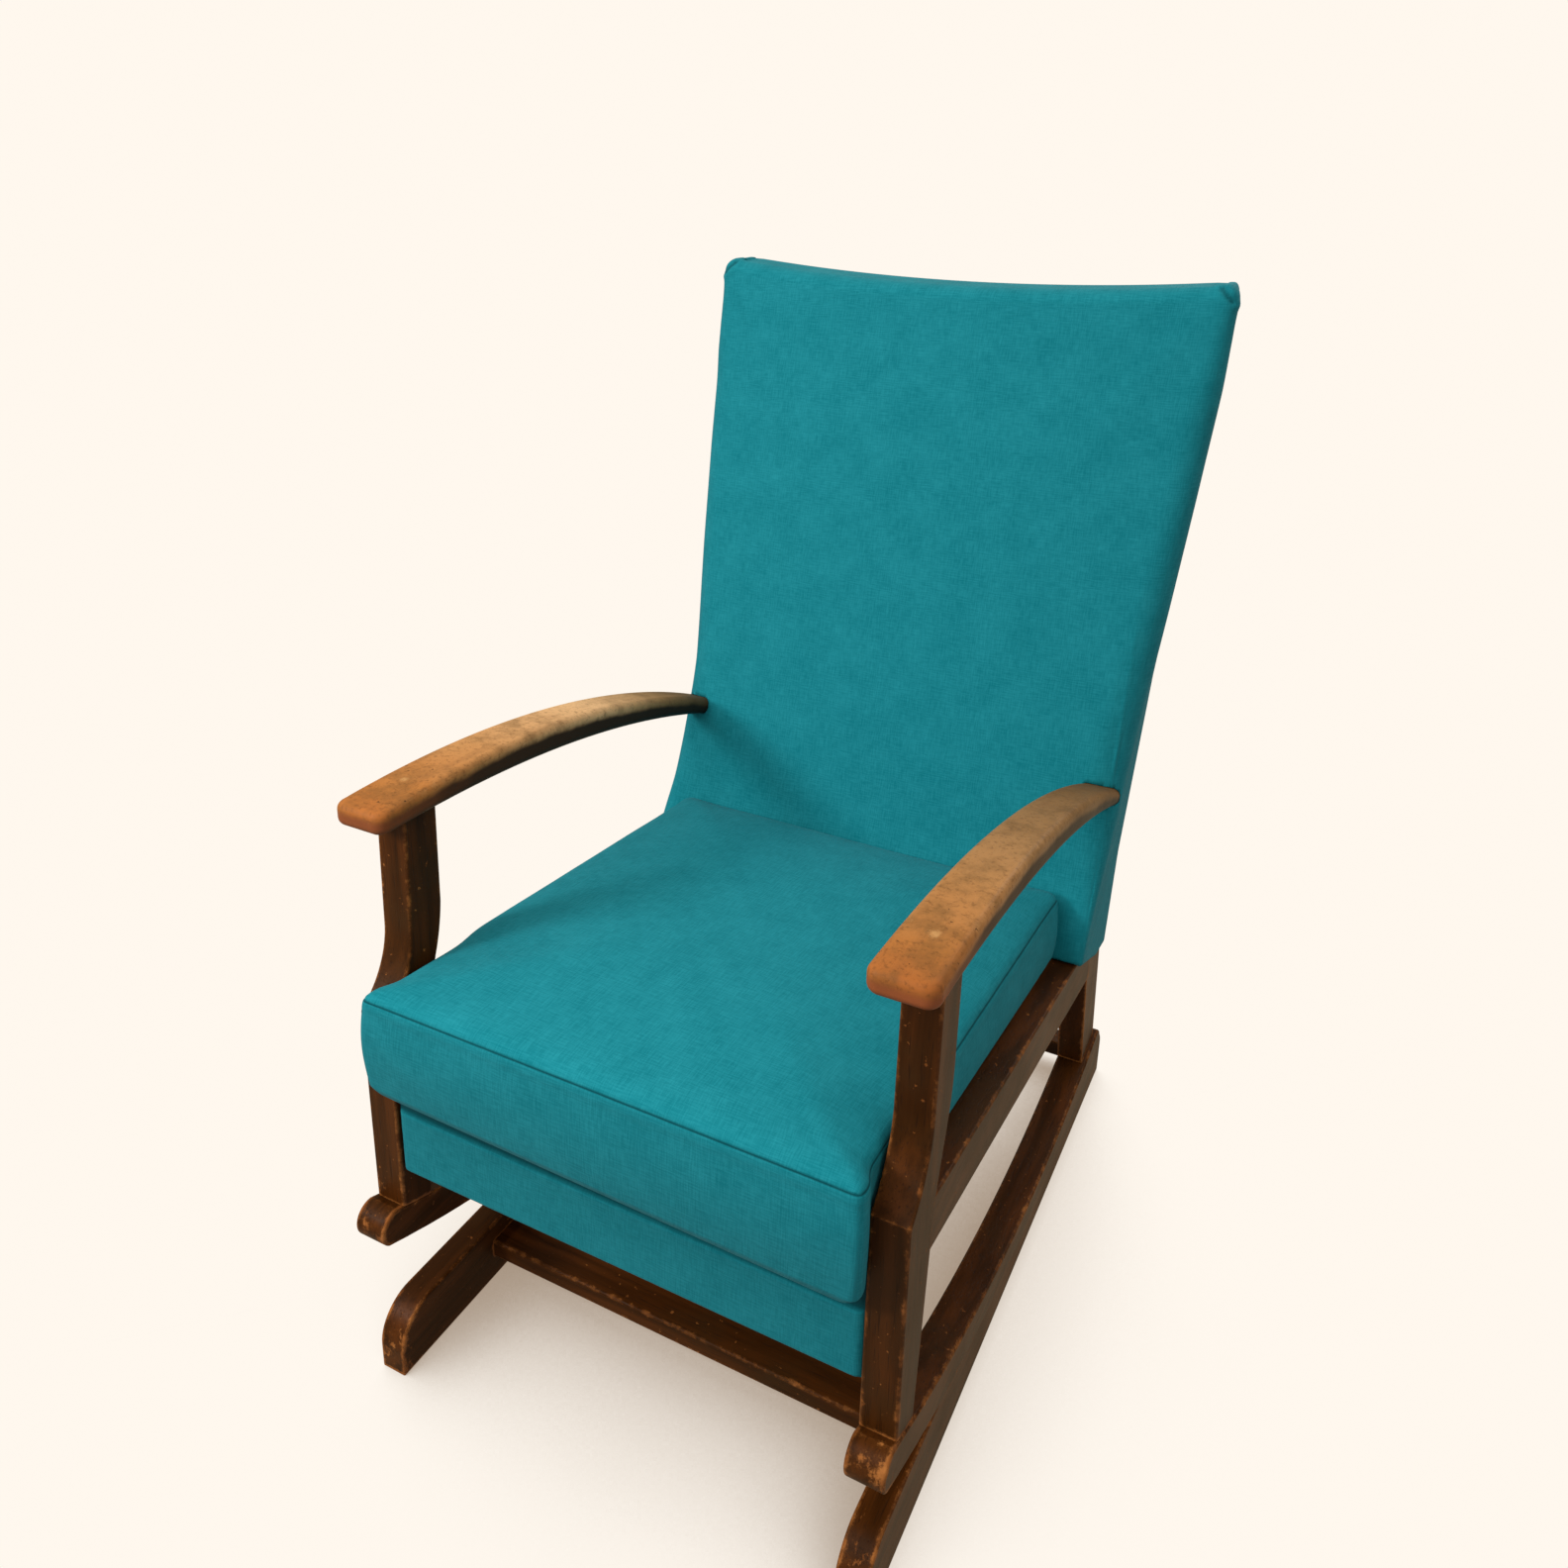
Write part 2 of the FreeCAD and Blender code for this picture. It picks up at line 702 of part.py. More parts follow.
side_rail = slab("side_rail_blank", "YZ_Plane", [
    ("rail_blank_front_y", f"{rail_top('rail_blank_front_y')} - rail_height"),
    ("rail_blank_rear_y", f"{rail_top('rail_blank_rear_y')} - rail_height"),
    ("rail_blank_rear_y", rail_top("rail_blank_rear_y")),
    ("rail_blank_front_y", rail_top("rail_blank_front_y")),
], "rail_inner", "rail_outer - rail_inner", in_side_plane)
rail_stop = slab("rail_stop", "YZ_Plane", [
    ("leg_blank_back_y", "leg_blank_z"),
    (rear_leg_front("leg_blank_z"), "leg_blank_z"),
    ("kink_front_y", "kink_z"),
    (post_front("leg_back_z"), "leg_back_z"),
    ("leg_back_y", "leg_back_z"),
], "0", "leg_outer")
side_rail = boolean("Common", "side_rail_fitted", side_rail, rail_stop)
keep_pair("side_rail", boolean("Cut", "side_rail_bored", side_rail, bores))


def cross_rail(name, corners, half, eased=None):
    """Board from side to side with bored ends."""
    blank = slab(f"{name}_blank", "YZ_Plane", corners, f"0 - ({half})", f"2 * ({half})", eased)
    return boolean("Cut", name, blank, bores)


def upright_board(y, thick, bottom, top):
    return [(y, bottom), (f"{y} + {thick}", bottom), (f"{y} + {thick}", top), (y, top)]


front_board = upright_board("front_rail_y", "front_rail_thick", "front_rail_bottom", "front_rail_top")
rear_board = upright_board("rear_rail_y", "rear_rail_thick", "rear_rail_bottom", "rear_rail_top")
keep(cross_rail("front_rail", front_board, LEG_INNER, runs_across))
rear_rail = cross_rail("rear_rail_bored", rear_board, "rear_inner", runs_across)
keep(boolean("Cut", "rear_rail", rear_rail, with_twin("high_hole_pair", high_holes)))


def corner_block(y, direction):
    """Three-sided glue block against a cross rail at y, reaching along Y in that direction."""
    reach = direction * value("block_leg")
    inner = value("rear_inner")
    bottom = value("block_bottom")
    points = [
        FreeCAD.Vector(inner, y, bottom),
        FreeCAD.Vector(inner - value("block_leg"), y, bottom),
        FreeCAD.Vector(inner, y + reach, bottom),
    ]
    face = Part.Face(Part.makePolygon(points + points[:1]))
    return face.extrude(FreeCAD.Vector(0, 0, value("block_height")))


front_block = corner_block(value(FRONT_REST_Y), 1)
rear_block = corner_block(value("rear_rail_y"), -1)
keep_pair("front_corner_block", feature("front_corner_block", front_block))
keep_pair("rear_corner_block", feature("rear_corner_block", rear_block))

# Back frame: two rails let in between the back posts


def leaning_board(bottom, top):
    front = "back_rail_inset"
    back = "back_rail_inset + back_rail_thick"
    return [
        (f"{post_front(bottom)} + {front}", bottom),
        (f"{post_front(bottom)} + {back}", bottom),
        (f"{post_front(top)} + {back}", top),
        (f"{post_front(top)} + {front}", top),
    ]


def back_rail(name, bottom, top):
    blank = cross_rail(f"{name}_bored", leaning_board(bottom, top), f"{back_inner(top)} + back_rail_spare")
    cut = boolean("Cut", f"{name}_cut", blank, rear_post)
    return boolean("Cut", name, cut, rear_post_twin)


keep(back_rail("back_low_rail", "low_rail_bottom", "low_rail_top"))
keep(back_rail("back_top_rail", "top_rail_bottom", "top_rail_top"))

# Webbing and the cloth under the cushion


def strap_row(count, step, start, end):
    """Flat straps side by side, each from a point of its underside to another."""
    run = end - start
    up = FreeCAD.Vector(0, -run.z, run.y).normalize() * value("strap_thick")
    straps = []
    for number in range(int(count)):
        left = FreeCAD.Vector((number - (count - 1) / 2) * step - value("strap_width") / 2, 0, 0)
        corners = [start + left, end + left, end + left + up, start + left + up]
        face = Part.Face(Part.makePolygon(corners + corners[:1]))
        straps.append(face.extrude(FreeCAD.Vector(value("strap_width"), 0, 0)))
    return Part.makeCompound(straps)


def deck_point(y):
    return FreeCAD.Vector(0, value(y), value(deck_line(y)))


seat_straps = strap_row(
    value("seat_strap_count"), value("seat_strap_step"),
    deck_point("front_rail_y"), deck_point(REAR_REST_Y))
keep(feature("seat_webbing", seat_straps))


def back_strap_point(z):
    """Point on the face of the back rails, a hair in front of them."""
    return FreeCAD.Vector(0, value(f"{post_front(z)} + back_rail_inset - layer_gap"), value(z))


back_straps = strap_row(
    value("back_strap_count"), value("back_strap_step"),
    back_strap_point("low_rail_bottom"), back_strap_point("top_rail_top"))
keep(feature("back_webbing", back_straps))

DECK_LIFT = "strap_thick + 2 * layer_gap"
keep(slab("seat_deck_cloth", "YZ_Plane", [
    ("front_rail_y", deck_line("front_rail_y", DECK_LIFT)),
    ("rear_rail_y", deck_line("rear_rail_y", DECK_LIFT)),
    ("rear_rail_y", deck_line("rear_rail_y", f"{DECK_LIFT} + deck_thick")),
    ("front_rail_y", deck_line("front_rail_y", f"{DECK_LIFT} + deck_thick")),
], "0 - deck_half_width", "2 * deck_half_width"))

# Apron: a thin pad on the front rail, its face bowed a little

keep(slab("front_apron", "YZ_Plane", [
    ("front_rail_y - layer_gap", "apron_bottom"),
    ("front_rail_y - layer_gap", "apron_top"),
    ("apron_edge_y", "apron_top", "apron_bow_radius", 1),
    ("apron_edge_y", "apron_bottom"),
], "0 - apron_half_width", "2 * apron_half_width"))

# Seat cushion, lofted from front to back through outlines with a crowned top and drawn-in edges


def arc_edge(start, middle, end):
    return Part.Arc(FreeCAD.Vector(*start), FreeCAD.Vector(*middle), FreeCAD.Vector(*end)).toShape()


def line_edge(start, end):
    return Part.makeLine(FreeCAD.Vector(*start), FreeCAD.Vector(*end))


def cushion_outline(y, pinch, crown):
    """Outline at y: bottom, rounded lower edges, bowed sides and a crowned top. Pinch draws it in."""
    half = value("cushion_half_width") - pinch
    low = value("cushion_tuck") * pinch
    high = value("cushion_border") - value("cushion_tuck") * pinch
    radius = value("cushion_draw")
    bow = value("cushion_bow")
    corner = radius * (1 - math.sqrt(0.5))
    middle = (low + radius + high) / 2
    edges = [line_edge((radius - half, y, low), (half - radius, y, low))]
    for side in (1, -1):
        foot = (side * (half - radius), y, low)
        turn = (side * (half - corner), y, low + corner)
        flank = (side * half, y, low + radius)
        waist = (side * (half + bow), y, middle)
        seam = (side * half, y, high)
        edges.append(arc_edge(foot, turn, flank))
        edges.append(arc_edge(flank, waist, seam))
    edges.append(arc_edge((half, y, high), (0, y, high + crown), (-half, y, high)))
    return Part.Wire(Part.__sortEdges__(edges))


def seat_cushion():
    length = value("cushion_length")
    crown = value("cushion_crown")
    # share of the length, how far the outline is drawn in there, share of the crown
    stations = [
        (0.0, 15.0, 0.15),
        (0.007, 9.0, 0.3),
        (0.022, 4.0, 0.42),
        (0.06, 1.0, 0.62),
        (0.16, 0.0, 0.87),
        (0.32, 0.0, 0.98),
        (0.55, 0.0, 1.0),
        (0.75, 0.0, 0.85),
        (0.9, 0.0, 0.55),
        (0.97, 5.0, 0.3),
        (1.0, 16.0, 0.1),
    ]
    rest = value(deck_line("cushion_front_y", f"{DECK_LIFT} + deck_thick + layer_gap"))
    tilt = -math.degrees(math.atan(value(DECK_SLOPE)))
    corner = FreeCAD.Vector(0, value("cushion_front_y"), rest)
    place = FreeCAD.Placement(corner, FreeCAD.Rotation(AXES["X"], tilt))
    wires = []
    for part, pinch, rise in stations:
        wire = cushion_outline(length * part, pinch, crown * rise)
        wires.append(wire.transformed(place.toMatrix()))
    return Part.makeLoft(wires, True, True)


cushion_stop = slab("cushion_stop", "YZ_Plane", [
    (f"{pad_face('trim_low')} - cushion_back_gap", "trim_low"),
    ("trim_back_y", "trim_low"),
    ("trim_back_y", "trim_high"),
    (f"{pad_face('trim_high')} - cushion_back_gap", "trim_high"),
], "0 - trim_reach", "2 * trim_reach")
keep(boolean("Cut", "seat_cushion", feature("cushion_blank", seat_cushion()), cushion_stop))

# Back padding: lofted upwards, with a dipped top, hollow behind for the frame


def pad_half(z):
    """Half width of the back at z: nearly upright at the bottom, then flaring."""
    low, high = value("pad_low_z"), value("pad_high_z")
    if z <= low:
        share = (z - value("pad_bottom")) / (low - value("pad_bottom"))
        return value("pad_bottom_half") + share * (value("pad_low_half") - value("pad_bottom_half"))
    if z <= high:
        share = (z - low) / (high - low)
        return value("pad_low_half") + share * (value("pad_high_half") - value("pad_low_half"))
    share = (z - high) / (value("pad_blank_z") - high)
    return value("pad_high_half") + share * (value("pad_blank_half") - value("pad_high_half"))


def pad_outline(z, radius):
    """Level outline: crowned face, rounded front corners, straight sides and back."""
    half = pad_half(z)
    face = value(pad_face(str(z)))
    edge = face + value("pad_crown")
    back = value(post_back(str(z)))
    corner = radius * (1 - math.sqrt(0.5))
    edges = [
        arc_edge((radius - half, edge, z), (0, face, z), (half - radius, edge, z)),
        arc_edge((half - radius, edge, z), (half - corner, edge + corner, z), (half, edge + radius, z)),
        line_edge((half, edge + radius, z), (half, back, z)),
        line_edge((half, back, z), (-half, back, z)),
        line_edge((-half, back, z), (-half, edge + radius, z)),
        arc_edge((-half, edge + radius, z), (corner - half, edge + corner, z), (radius - half, edge, z)),
    ]
    return Part.Wire(edges)


def level_box(half, front, back, z):
    """Level rectangle of that half width, from front to back."""
    corners = [(-half, front, z), (half, front, z), (half, back, z), (-half, back, z), (-half, front, z)]
    return Part.makePolygon([FreeCAD.Vector(*corner) for corner in corners])


def frame_hollow():
    """Room for the back frame: it starts at the posts' faces and is open behind."""
    gap = value("pad_frame_gap")
    wires = []
    for z, outer in (
        (value("pad_bottom - hollow_drop"), value("rear_outer")),
        (value("kink_z"), value("rear_outer")),
        (value("back_top_z") + gap, value("back_top_outer")),
    ):
        half = outer + gap
        front = value(post_front(str(z))) - gap
        back = value(post_back(str(z))) + value("hollow_reach")
        wires.append(level_box(half, front, back, z))
    return Part.makeLoft(wires, True, True)


def dip_tool():
    """Cylinder along Y that dips the top edge of the back."""
    radius = value("pad_dip_radius")
    start = FreeCAD.Vector(0, value("dip_front_y"), value("pad_top_z") + radius)
    return Part.makeCylinder(radius, value("trim_back_y"), start, AXES["Y"])


PAD_STATIONS = [
    ("pad_bottom", "pad_low_radius"),
    ("pad_low_z", "pad_low_radius"),
    ("(2 * pad_low_z + pad_high_z) / 3", "pad_low_radius"),
    ("(pad_low_z + 2 * pad_high_z) / 3", "(pad_low_radius + pad_high_radius) / 2"),
    ("pad_high_z", "pad_high_radius"),
    ("pad_blank_z", "pad_top_radius"),
]
pad_wires = [pad_outline(value(level), value(radius)) for level, radius in PAD_STATIONS]
pad_shape = Part.makeLoft(pad_wires, True, True).cut(dip_tool()).cut(frame_hollow())
rail_room = slab("rail_room", "YZ_Plane", [
    ("rail_room_front_y", "trim_low"),
    ("kink_front_y + rail_room_depth", "trim_low"),
    ("kink_front_y + rail_room_depth", f"{rail_top('kink_front_y')} + pad_frame_gap"),
    ("rail_room_front_y", f"{rail_top('rail_room_front_y')} + pad_frame_gap"),
], "0 - trim_reach", "2 * trim_reach")
back_pad = boolean("Cut", "back_pad_over_rails", feature("back_pad_blank", pad_shape), rail_room)
back_pad = boolean("Cut", "back_pad_one_arm", back_pad, arm)
keep(boolean("Cut", "back_pad", back_pad, mirrored("arm_twin", arm)))


def back_cover():
    """Panel behind the back frame, a little narrower than the padding."""
    gap = value("layer_gap")
    wires = []
    for z in (value("kink_z") + gap, value("pad_low_z"), value("pad_high_z"), value("pad_blank_z")):
        half = pad_half(z) - value("cover_inset")
        front = value(post_back(str(z))) + gap
        wires.append(level_box(half, front, front + value("cover_thick"), z))
    dip = dip_tool()
    dip.translate(FreeCAD.Vector(0, 0, -value("cover_inset")))
    return Part.makeLoft(wires, True, True).cut(dip)


keep(feature("back_cover", back_cover()))

# Spring plates: a short one on the rear stretcher, and a long one that reaches back from under the
# rear rail. Each has a stud inside the spring.


def spring_plate(name, front, plate_z, stud_z, holes):
    left = f"spring_x - {name}_half"
    right = f"spring_x + {name}_half"
    back = "spring_y + plate_beside_spring"
    plate = slab(f"{name}_blank", "XY_Plane", [
        (f"{left} + plate_corner", front),
        (f"{right} - plate_corner", front, "plate_corner", 1),
        (right, f"{front} + plate_corner"),
        (right, f"{back} - plate_corner", "plate_corner", 1),
        (f"{right} - plate_corner", back),
        (f"{left} + plate_corner", back, "plate_corner", 1),
        (left, f"{back} - plate_corner"),
        (left, f"{front} + plate_corner", "plate_corner", 1),
    ], plate_z, "plate_thick")
    stud = cylinder(
        f"{name}_stud", "spring_stud_radius", "spring_stud_height", "spring_x", "spring_y", stud_z)
    whole = boolean("Fuse", f"{name}_whole", plate, stud)
    keep_pair(name, boolean("Cut", f"{name}_drilled", whole, holes))


spring_plate("base_plate", "spring_y - plate_beside_spring", STRETCHER_TOP, LOW_SEAT_Z, low_holes)
HIGH_STUD_Z = f"{HIGH_SEAT_Z} - spring_stud_height"
spring_plate("chair_plate", "chair_plate_front_y", HIGH_SEAT_Z, HIGH_STUD_Z, high_holes)

# Coil springs, each one unbroken wire with closed turns at both ends


def spring_height(turn):
    """Height of the wire's middle after so many turns."""
    wire = value("spring_wire")
    turns = value("spring_turns")
    closed = value("spring_end_turns")
    close_pitch = wire + value("spring_end_gap")
    rest = value("layer_gap") + wire / 2
    rise = value(HIGH_SEAT_Z) - value(LOW_SEAT_Z) - 2 * rest
    open_pitch = (rise - 2 * closed * close_pitch) / (turns - 2 * closed)
    in_closed = min(turn, closed) + max(turn - (turns - closed), 0)
    in_open = min(max(turn - closed, 0), turns - 2 * closed)
    return value(LOW_SEAT_Z) + rest + in_closed * close_pitch + in_open * open_pitch


def half_arc(start, tangent, end):
    """Arc from start, along tangent there, to end."""
    chord = end - start
    along = FreeCAD.Vector(chord).normalize()
    across = tangent - along * tangent.dot(along)
    angle = math.acos(max(-1.0, min(1.0, tangent.dot(along))))
    top = (start + end) * 0.5 + across.normalize() * (chord.Length / 2 * math.tan(angle / 2))
    return Part.Arc(start, top, end).toShape()


def biarc(start, start_way, end, end_way):
    """Two arcs that leave start and reach end in the given directions and join smoothly."""
    chord = end - start
    ways = start_way + end_way
    square = ways.dot(ways) - 4
    linear = -2 * chord.dot(ways)
    reach = (-linear - math.sqrt(linear ** 2 - 4 * square * chord.dot(chord))) / (2 * square)
    joint = (start + start_way * reach + end - end_way * reach) * 0.5
    joint_way = end - end_way * reach - start - start_way * reach
    return [half_arc(start, start_way, joint), half_arc(joint, joint_way.normalize(), end)]


def spring_path(x, y):
    radius = value("spring_radius")
    halves = int(2 * value("spring_turns"))
    points = []
    ways = []
    for number in range(halves + 1):
        turn = number / 2
        angle = math.pi * number
        points.append(FreeCAD.Vector(
            x + radius * math.cos(angle), y + radius * math.sin(angle), spring_height(turn)))
        step = min(0.05, turn or 1, (halves / 2 - turn) or 1)
        slope = (spring_height(turn + step) - spring_height(turn - step)) / (4 * math.pi * step * radius)
        ways.append(FreeCAD.Vector(-math.sin(angle), math.cos(angle), slope).normalize())
    edges = []
    for number in range(halves):
        edges += biarc(points[number], ways[number], points[number + 1], ways[number + 1])
    return Part.Wire(edges)


def least_gap(path, wire):
    """Least clear gap between parts of the wire that are over half a turn apart."""
    per_turn = 40
    count = per_turn * int(value("spring_turns"))
    points = path.discretize(Number=count)
    apart = per_turn // 2 + 2
    distances = [
        points[first].distanceToPoint(points[second])
        for first in range(count) for second in range(first + apart, count)
    ]
    return min(distances) - wire


def spring(name, sign_x):
    wire = value("spring_wire")
    path = spring_path(sign_x * value("spring_x"), value("spring_y"))
    start = path.Edges[0]
    first = start.FirstParameter
    circle = Part.Circle(start.valueAt(first), start.tangentAt(first), wire / 2)
    solid = path.makePipeShell([Part.Wire(circle.toShape())], True, False)
    print(name, "least gap to itself", round(least_gap(path, wire), 2), "mm")
    return feature(name, solid)


keep(spring("spring_left", -1), spring("spring_right", 1))

# Check and write every piece

doc.recompute()
for item in doc.Objects:
    if {"Invalid", "Error"} & set(item.State):
        raise RuntimeError(f"{item.Label} failed: {item.State}")
for piece in pieces:
    if piece.Shape.isNull() or not piece.Shape.isValid():
        raise RuntimeError(f"{piece.Label} has no valid shape")

os.makedirs("parts", exist_ok=True)
whole_box = FreeCAD.BoundBox()
for piece in pieces:
    piece.Shape.exportStep(f"parts/{piece.Label}.step")
    whole_box.add(piece.Shape.optimalBoundingBox(True, False))
print(len(pieces), "pieces in", whole_box)
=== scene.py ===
# %% [markdown]
# # An upholstered platform rocker
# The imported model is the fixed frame: every wooden and metal piece is already where it belongs.
# This lesson gives those pieces their finishes, and makes the soft pieces, which the plain solids
# can only stand for: the loose seat cushion, the padded back, the apron, straps and cloth.

# %% Load the frame
import math

import bpy
import numpy as np
from mathutils import Matrix, Vector


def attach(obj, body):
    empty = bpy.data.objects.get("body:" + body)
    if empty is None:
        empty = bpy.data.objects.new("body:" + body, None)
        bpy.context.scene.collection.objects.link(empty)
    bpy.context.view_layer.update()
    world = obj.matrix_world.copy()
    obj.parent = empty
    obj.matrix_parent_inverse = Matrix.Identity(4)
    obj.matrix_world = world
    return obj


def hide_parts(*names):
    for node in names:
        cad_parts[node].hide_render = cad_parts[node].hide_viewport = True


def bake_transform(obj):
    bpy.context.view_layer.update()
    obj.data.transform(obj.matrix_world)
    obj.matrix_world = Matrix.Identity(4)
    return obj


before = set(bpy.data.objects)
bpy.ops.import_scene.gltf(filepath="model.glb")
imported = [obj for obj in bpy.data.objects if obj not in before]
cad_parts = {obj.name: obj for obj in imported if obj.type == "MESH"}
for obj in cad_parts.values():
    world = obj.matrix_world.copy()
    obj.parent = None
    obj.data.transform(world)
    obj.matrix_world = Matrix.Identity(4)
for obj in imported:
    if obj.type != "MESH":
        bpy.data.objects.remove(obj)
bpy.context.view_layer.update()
scene = bpy.context.scene

# %% [markdown]
# ## Camera
# The camera stands where the photograph was taken from: in front of the chair, to its right and
# above its back's middle, looking down. Its place, lens and small roll come from matching straight
# edges of the chair. The lens is shifted down because the picture was cropped below its middle.

# %% Camera
FRONT_Y = -0.3947
CAMERA_X, CAMERA_BEHIND, CAMERA_Z = 0.517, -0.7187, 1.1492
CAMERA_YAW, CAMERA_PITCH, CAMERA_ROLL = 0.464, -0.319, 0.023
CAMERA_SENSOR, CAMERA_LENS, CAMERA_SHIFT = 36.0, 28.99, -0.118


def behind(y):
    """Place along Y of a point that lies so far behind the front legs' faces."""
    return y + FRONT_Y


def add_camera():
    data = bpy.data.cameras.new("camera")
    data.sensor_width = CAMERA_SENSOR
    data.lens = CAMERA_LENS
    data.shift_y = CAMERA_SHIFT
    camera = bpy.data.objects.new("camera", data)
    scene.collection.objects.link(camera)
    level = math.cos(CAMERA_PITCH)
    ahead = Vector((-math.sin(CAMERA_YAW) * level, math.cos(CAMERA_YAW) * level, math.sin(CAMERA_PITCH)))
    right = Vector((math.cos(CAMERA_YAW), math.sin(CAMERA_YAW), 0.0))
    up = right.cross(ahead)
    rolled_right = math.cos(CAMERA_ROLL) * right + math.sin(CAMERA_ROLL) * up
    rolled_up = math.cos(CAMERA_ROLL) * up - math.sin(CAMERA_ROLL) * right
    turn = Matrix((rolled_right, rolled_up, -ahead)).transposed()
    place = Matrix.Translation((CAMERA_X, behind(CAMERA_BEHIND), CAMERA_Z))
    camera.matrix_world = place @ turn.to_4x4()
    return camera


scene.camera = add_camera()
print("camera at", tuple(round(v, 3) for v in scene.camera.location))

# %% [markdown]
# ## Helpers for nodes
# A small helper adds a node, sets its plain values and joins its inputs, so that the floor or a finish
# reads like a list of what it is made from.

# %% Helpers for nodes
class Sheet:
    """Adds nodes to one node tree. Keyword names are sockets, with _ for a space."""

    def __init__(self, tree):
        self.tree = tree

    def add(self, kind, *places, **sockets):
        node = self.tree.nodes.new("ShaderNode" + kind)
        for socket, given in zip(node.inputs, places):
            self.set(socket, given)
        self.fill(node.inputs, **sockets)
        return node

    def fill(self, inputs, **sockets):
        for name, given in sockets.items():
            self.set(inputs[name.replace("_", " ")], given)

    def set(self, socket, given):
        if isinstance(given, bpy.types.NodeSocket):
            self.tree.links.new(given, socket)
        elif given is not None:
            socket.default_value = (*given, 1.0) if socket.type == "RGBA" else given

    def math(self, operation, first, second=None, third=None):
        node = self.add("Math", first, second, third)
        node.operation = operation
        return node.outputs[0]

    def times(self, first, second):
        return self.math("MULTIPLY", first, second)

    def times_plus(self, first, second, third):
        return self.math("MULTIPLY_ADD", first, second, third)

    def blend(self, share, first, second, mode="MIX"):
        """Mix of two colours."""
        node = self.tree.nodes.new("ShaderNodeMix")
        node.data_type = "RGBA"
        node.blend_type = mode
        self.fill(node.inputs, Factor=share, A=first, B=second)
        return node.outputs["Result"]

    def noise(self, point, scale, detail=2.0, roughness=0.5):
        return self.add(
            "TexNoise", Vector=point, Scale=scale, Detail=detail, Roughness=roughness).outputs["Fac"]

    def stretched(self, point, scale, offset=(0.0, 0.0, 0.0)):
        """The point, scaled by its own factor along each axis."""
        return self.add("Mapping", Vector=point, Scale=scale, Location=offset).outputs["Vector"]

    def step(self, given, low, high):
        """Smooth step from 0 at low to 1 at high."""
        node = self.add("MapRange", Value=given, From_Min=low, From_Max=high)
        node.interpolation_type = "SMOOTHSTEP"
        return node.outputs["Result"]


def node_group(name, inputs, outputs):
    """New shader node group with those named sockets; returns it with its sheet and end nodes."""
    tree = bpy.data.node_groups.new(name, "ShaderNodeTree")
    for label, kind in inputs:
        tree.interface.new_socket(label, in_out="INPUT", socket_type="NodeSocket" + kind)
    for label, kind in outputs:
        tree.interface.new_socket(label, in_out="OUTPUT", socket_type="NodeSocket" + kind)
    entry = tree.nodes.new("NodeGroupInput").outputs
    leave = tree.nodes.new("NodeGroupOutput").inputs
    return tree, Sheet(tree), entry, leave


def place_group(sheet, tree, **sockets):
    node = sheet.tree.nodes.new("ShaderNodeGroup")
    node.node_tree = tree
    sheet.fill(node.inputs, **sockets)
    return node.outputs


print("helpers for nodes:", Sheet.__name__, node_group.__name__, place_group.__name__)

# %% [markdown]
# ## Light and floor
# The photograph has a warm off-white ground without a horizon. Soft light falls from above, a broad
# lamp over the left arm brightens back and seat, and a window at the front left throws the shadows of
# post and arm on the cloth. A third lamp lights the chair's rear, for views from behind. The world is
# brighter overhead than below, but the camera sees it as the plain ground, and what the varnish
# mirrors is warmer. The floor is that same colour, darkened only where the chair stands over it: rays
# that look up from the floor count how much of the sky is hidden.

# %% Light and floor
GROUND_COLOUR, SHADE_COLOUR = (1.0, 0.935, 0.855), (0.36, 0.27, 0.195)
MIRRORED_TINT = (0.62, 0.53, 0.37)
SKY_START, SKY_LOW, SKY_HIGH = -0.1, 0.21, 1.22
SHADE_REACH, SHADE_FULL, SHADE_NONE, SHADE_RAYS = 0.7, 0.08, 0.73, 16
FLOOR_SIZE, LAMP_COLOUR = 60.0, (1.0, 0.96, 0.90)
LAMPS = {
    "window": {"place": (-1.15, -1.80, 1.60), "aim": (0.0, 0.0, 0.58), "watts": 26.0, "width": 0.40},
    "overhead": {"place": (-0.70, -1.10, 1.90), "aim": (0.0, 0.15, 0.60), "watts": 10.0, "width": 1.00},
    "rear": {"place": (0.50, 2.30, 1.70), "aim": (0.0, 0.35, 0.70), "watts": 14.0, "width": 1.20},
}


def deselect():
    """Leave edit mode and select nothing, because operators act on all that is selected."""
    if bpy.context.object and bpy.context.object.mode != "OBJECT":
        bpy.ops.object.mode_set(mode="OBJECT")
    bpy.ops.object.select_all(action="DESELECT")


def pick(piece):
    """Make a piece the active one and the only one selected."""
    deselect()
    bpy.context.view_layer.objects.active = piece
    piece.select_set(True)


def warm_mirrored(sheet, colour):
    """A colour as it is, but warmer for the rays that polished timber mirrors."""
    mirrored = sheet.add("LightPath").outputs["Is Glossy Ray"]
    return sheet.blend(mirrored, colour, MIRRORED_TINT, "MULTIPLY")


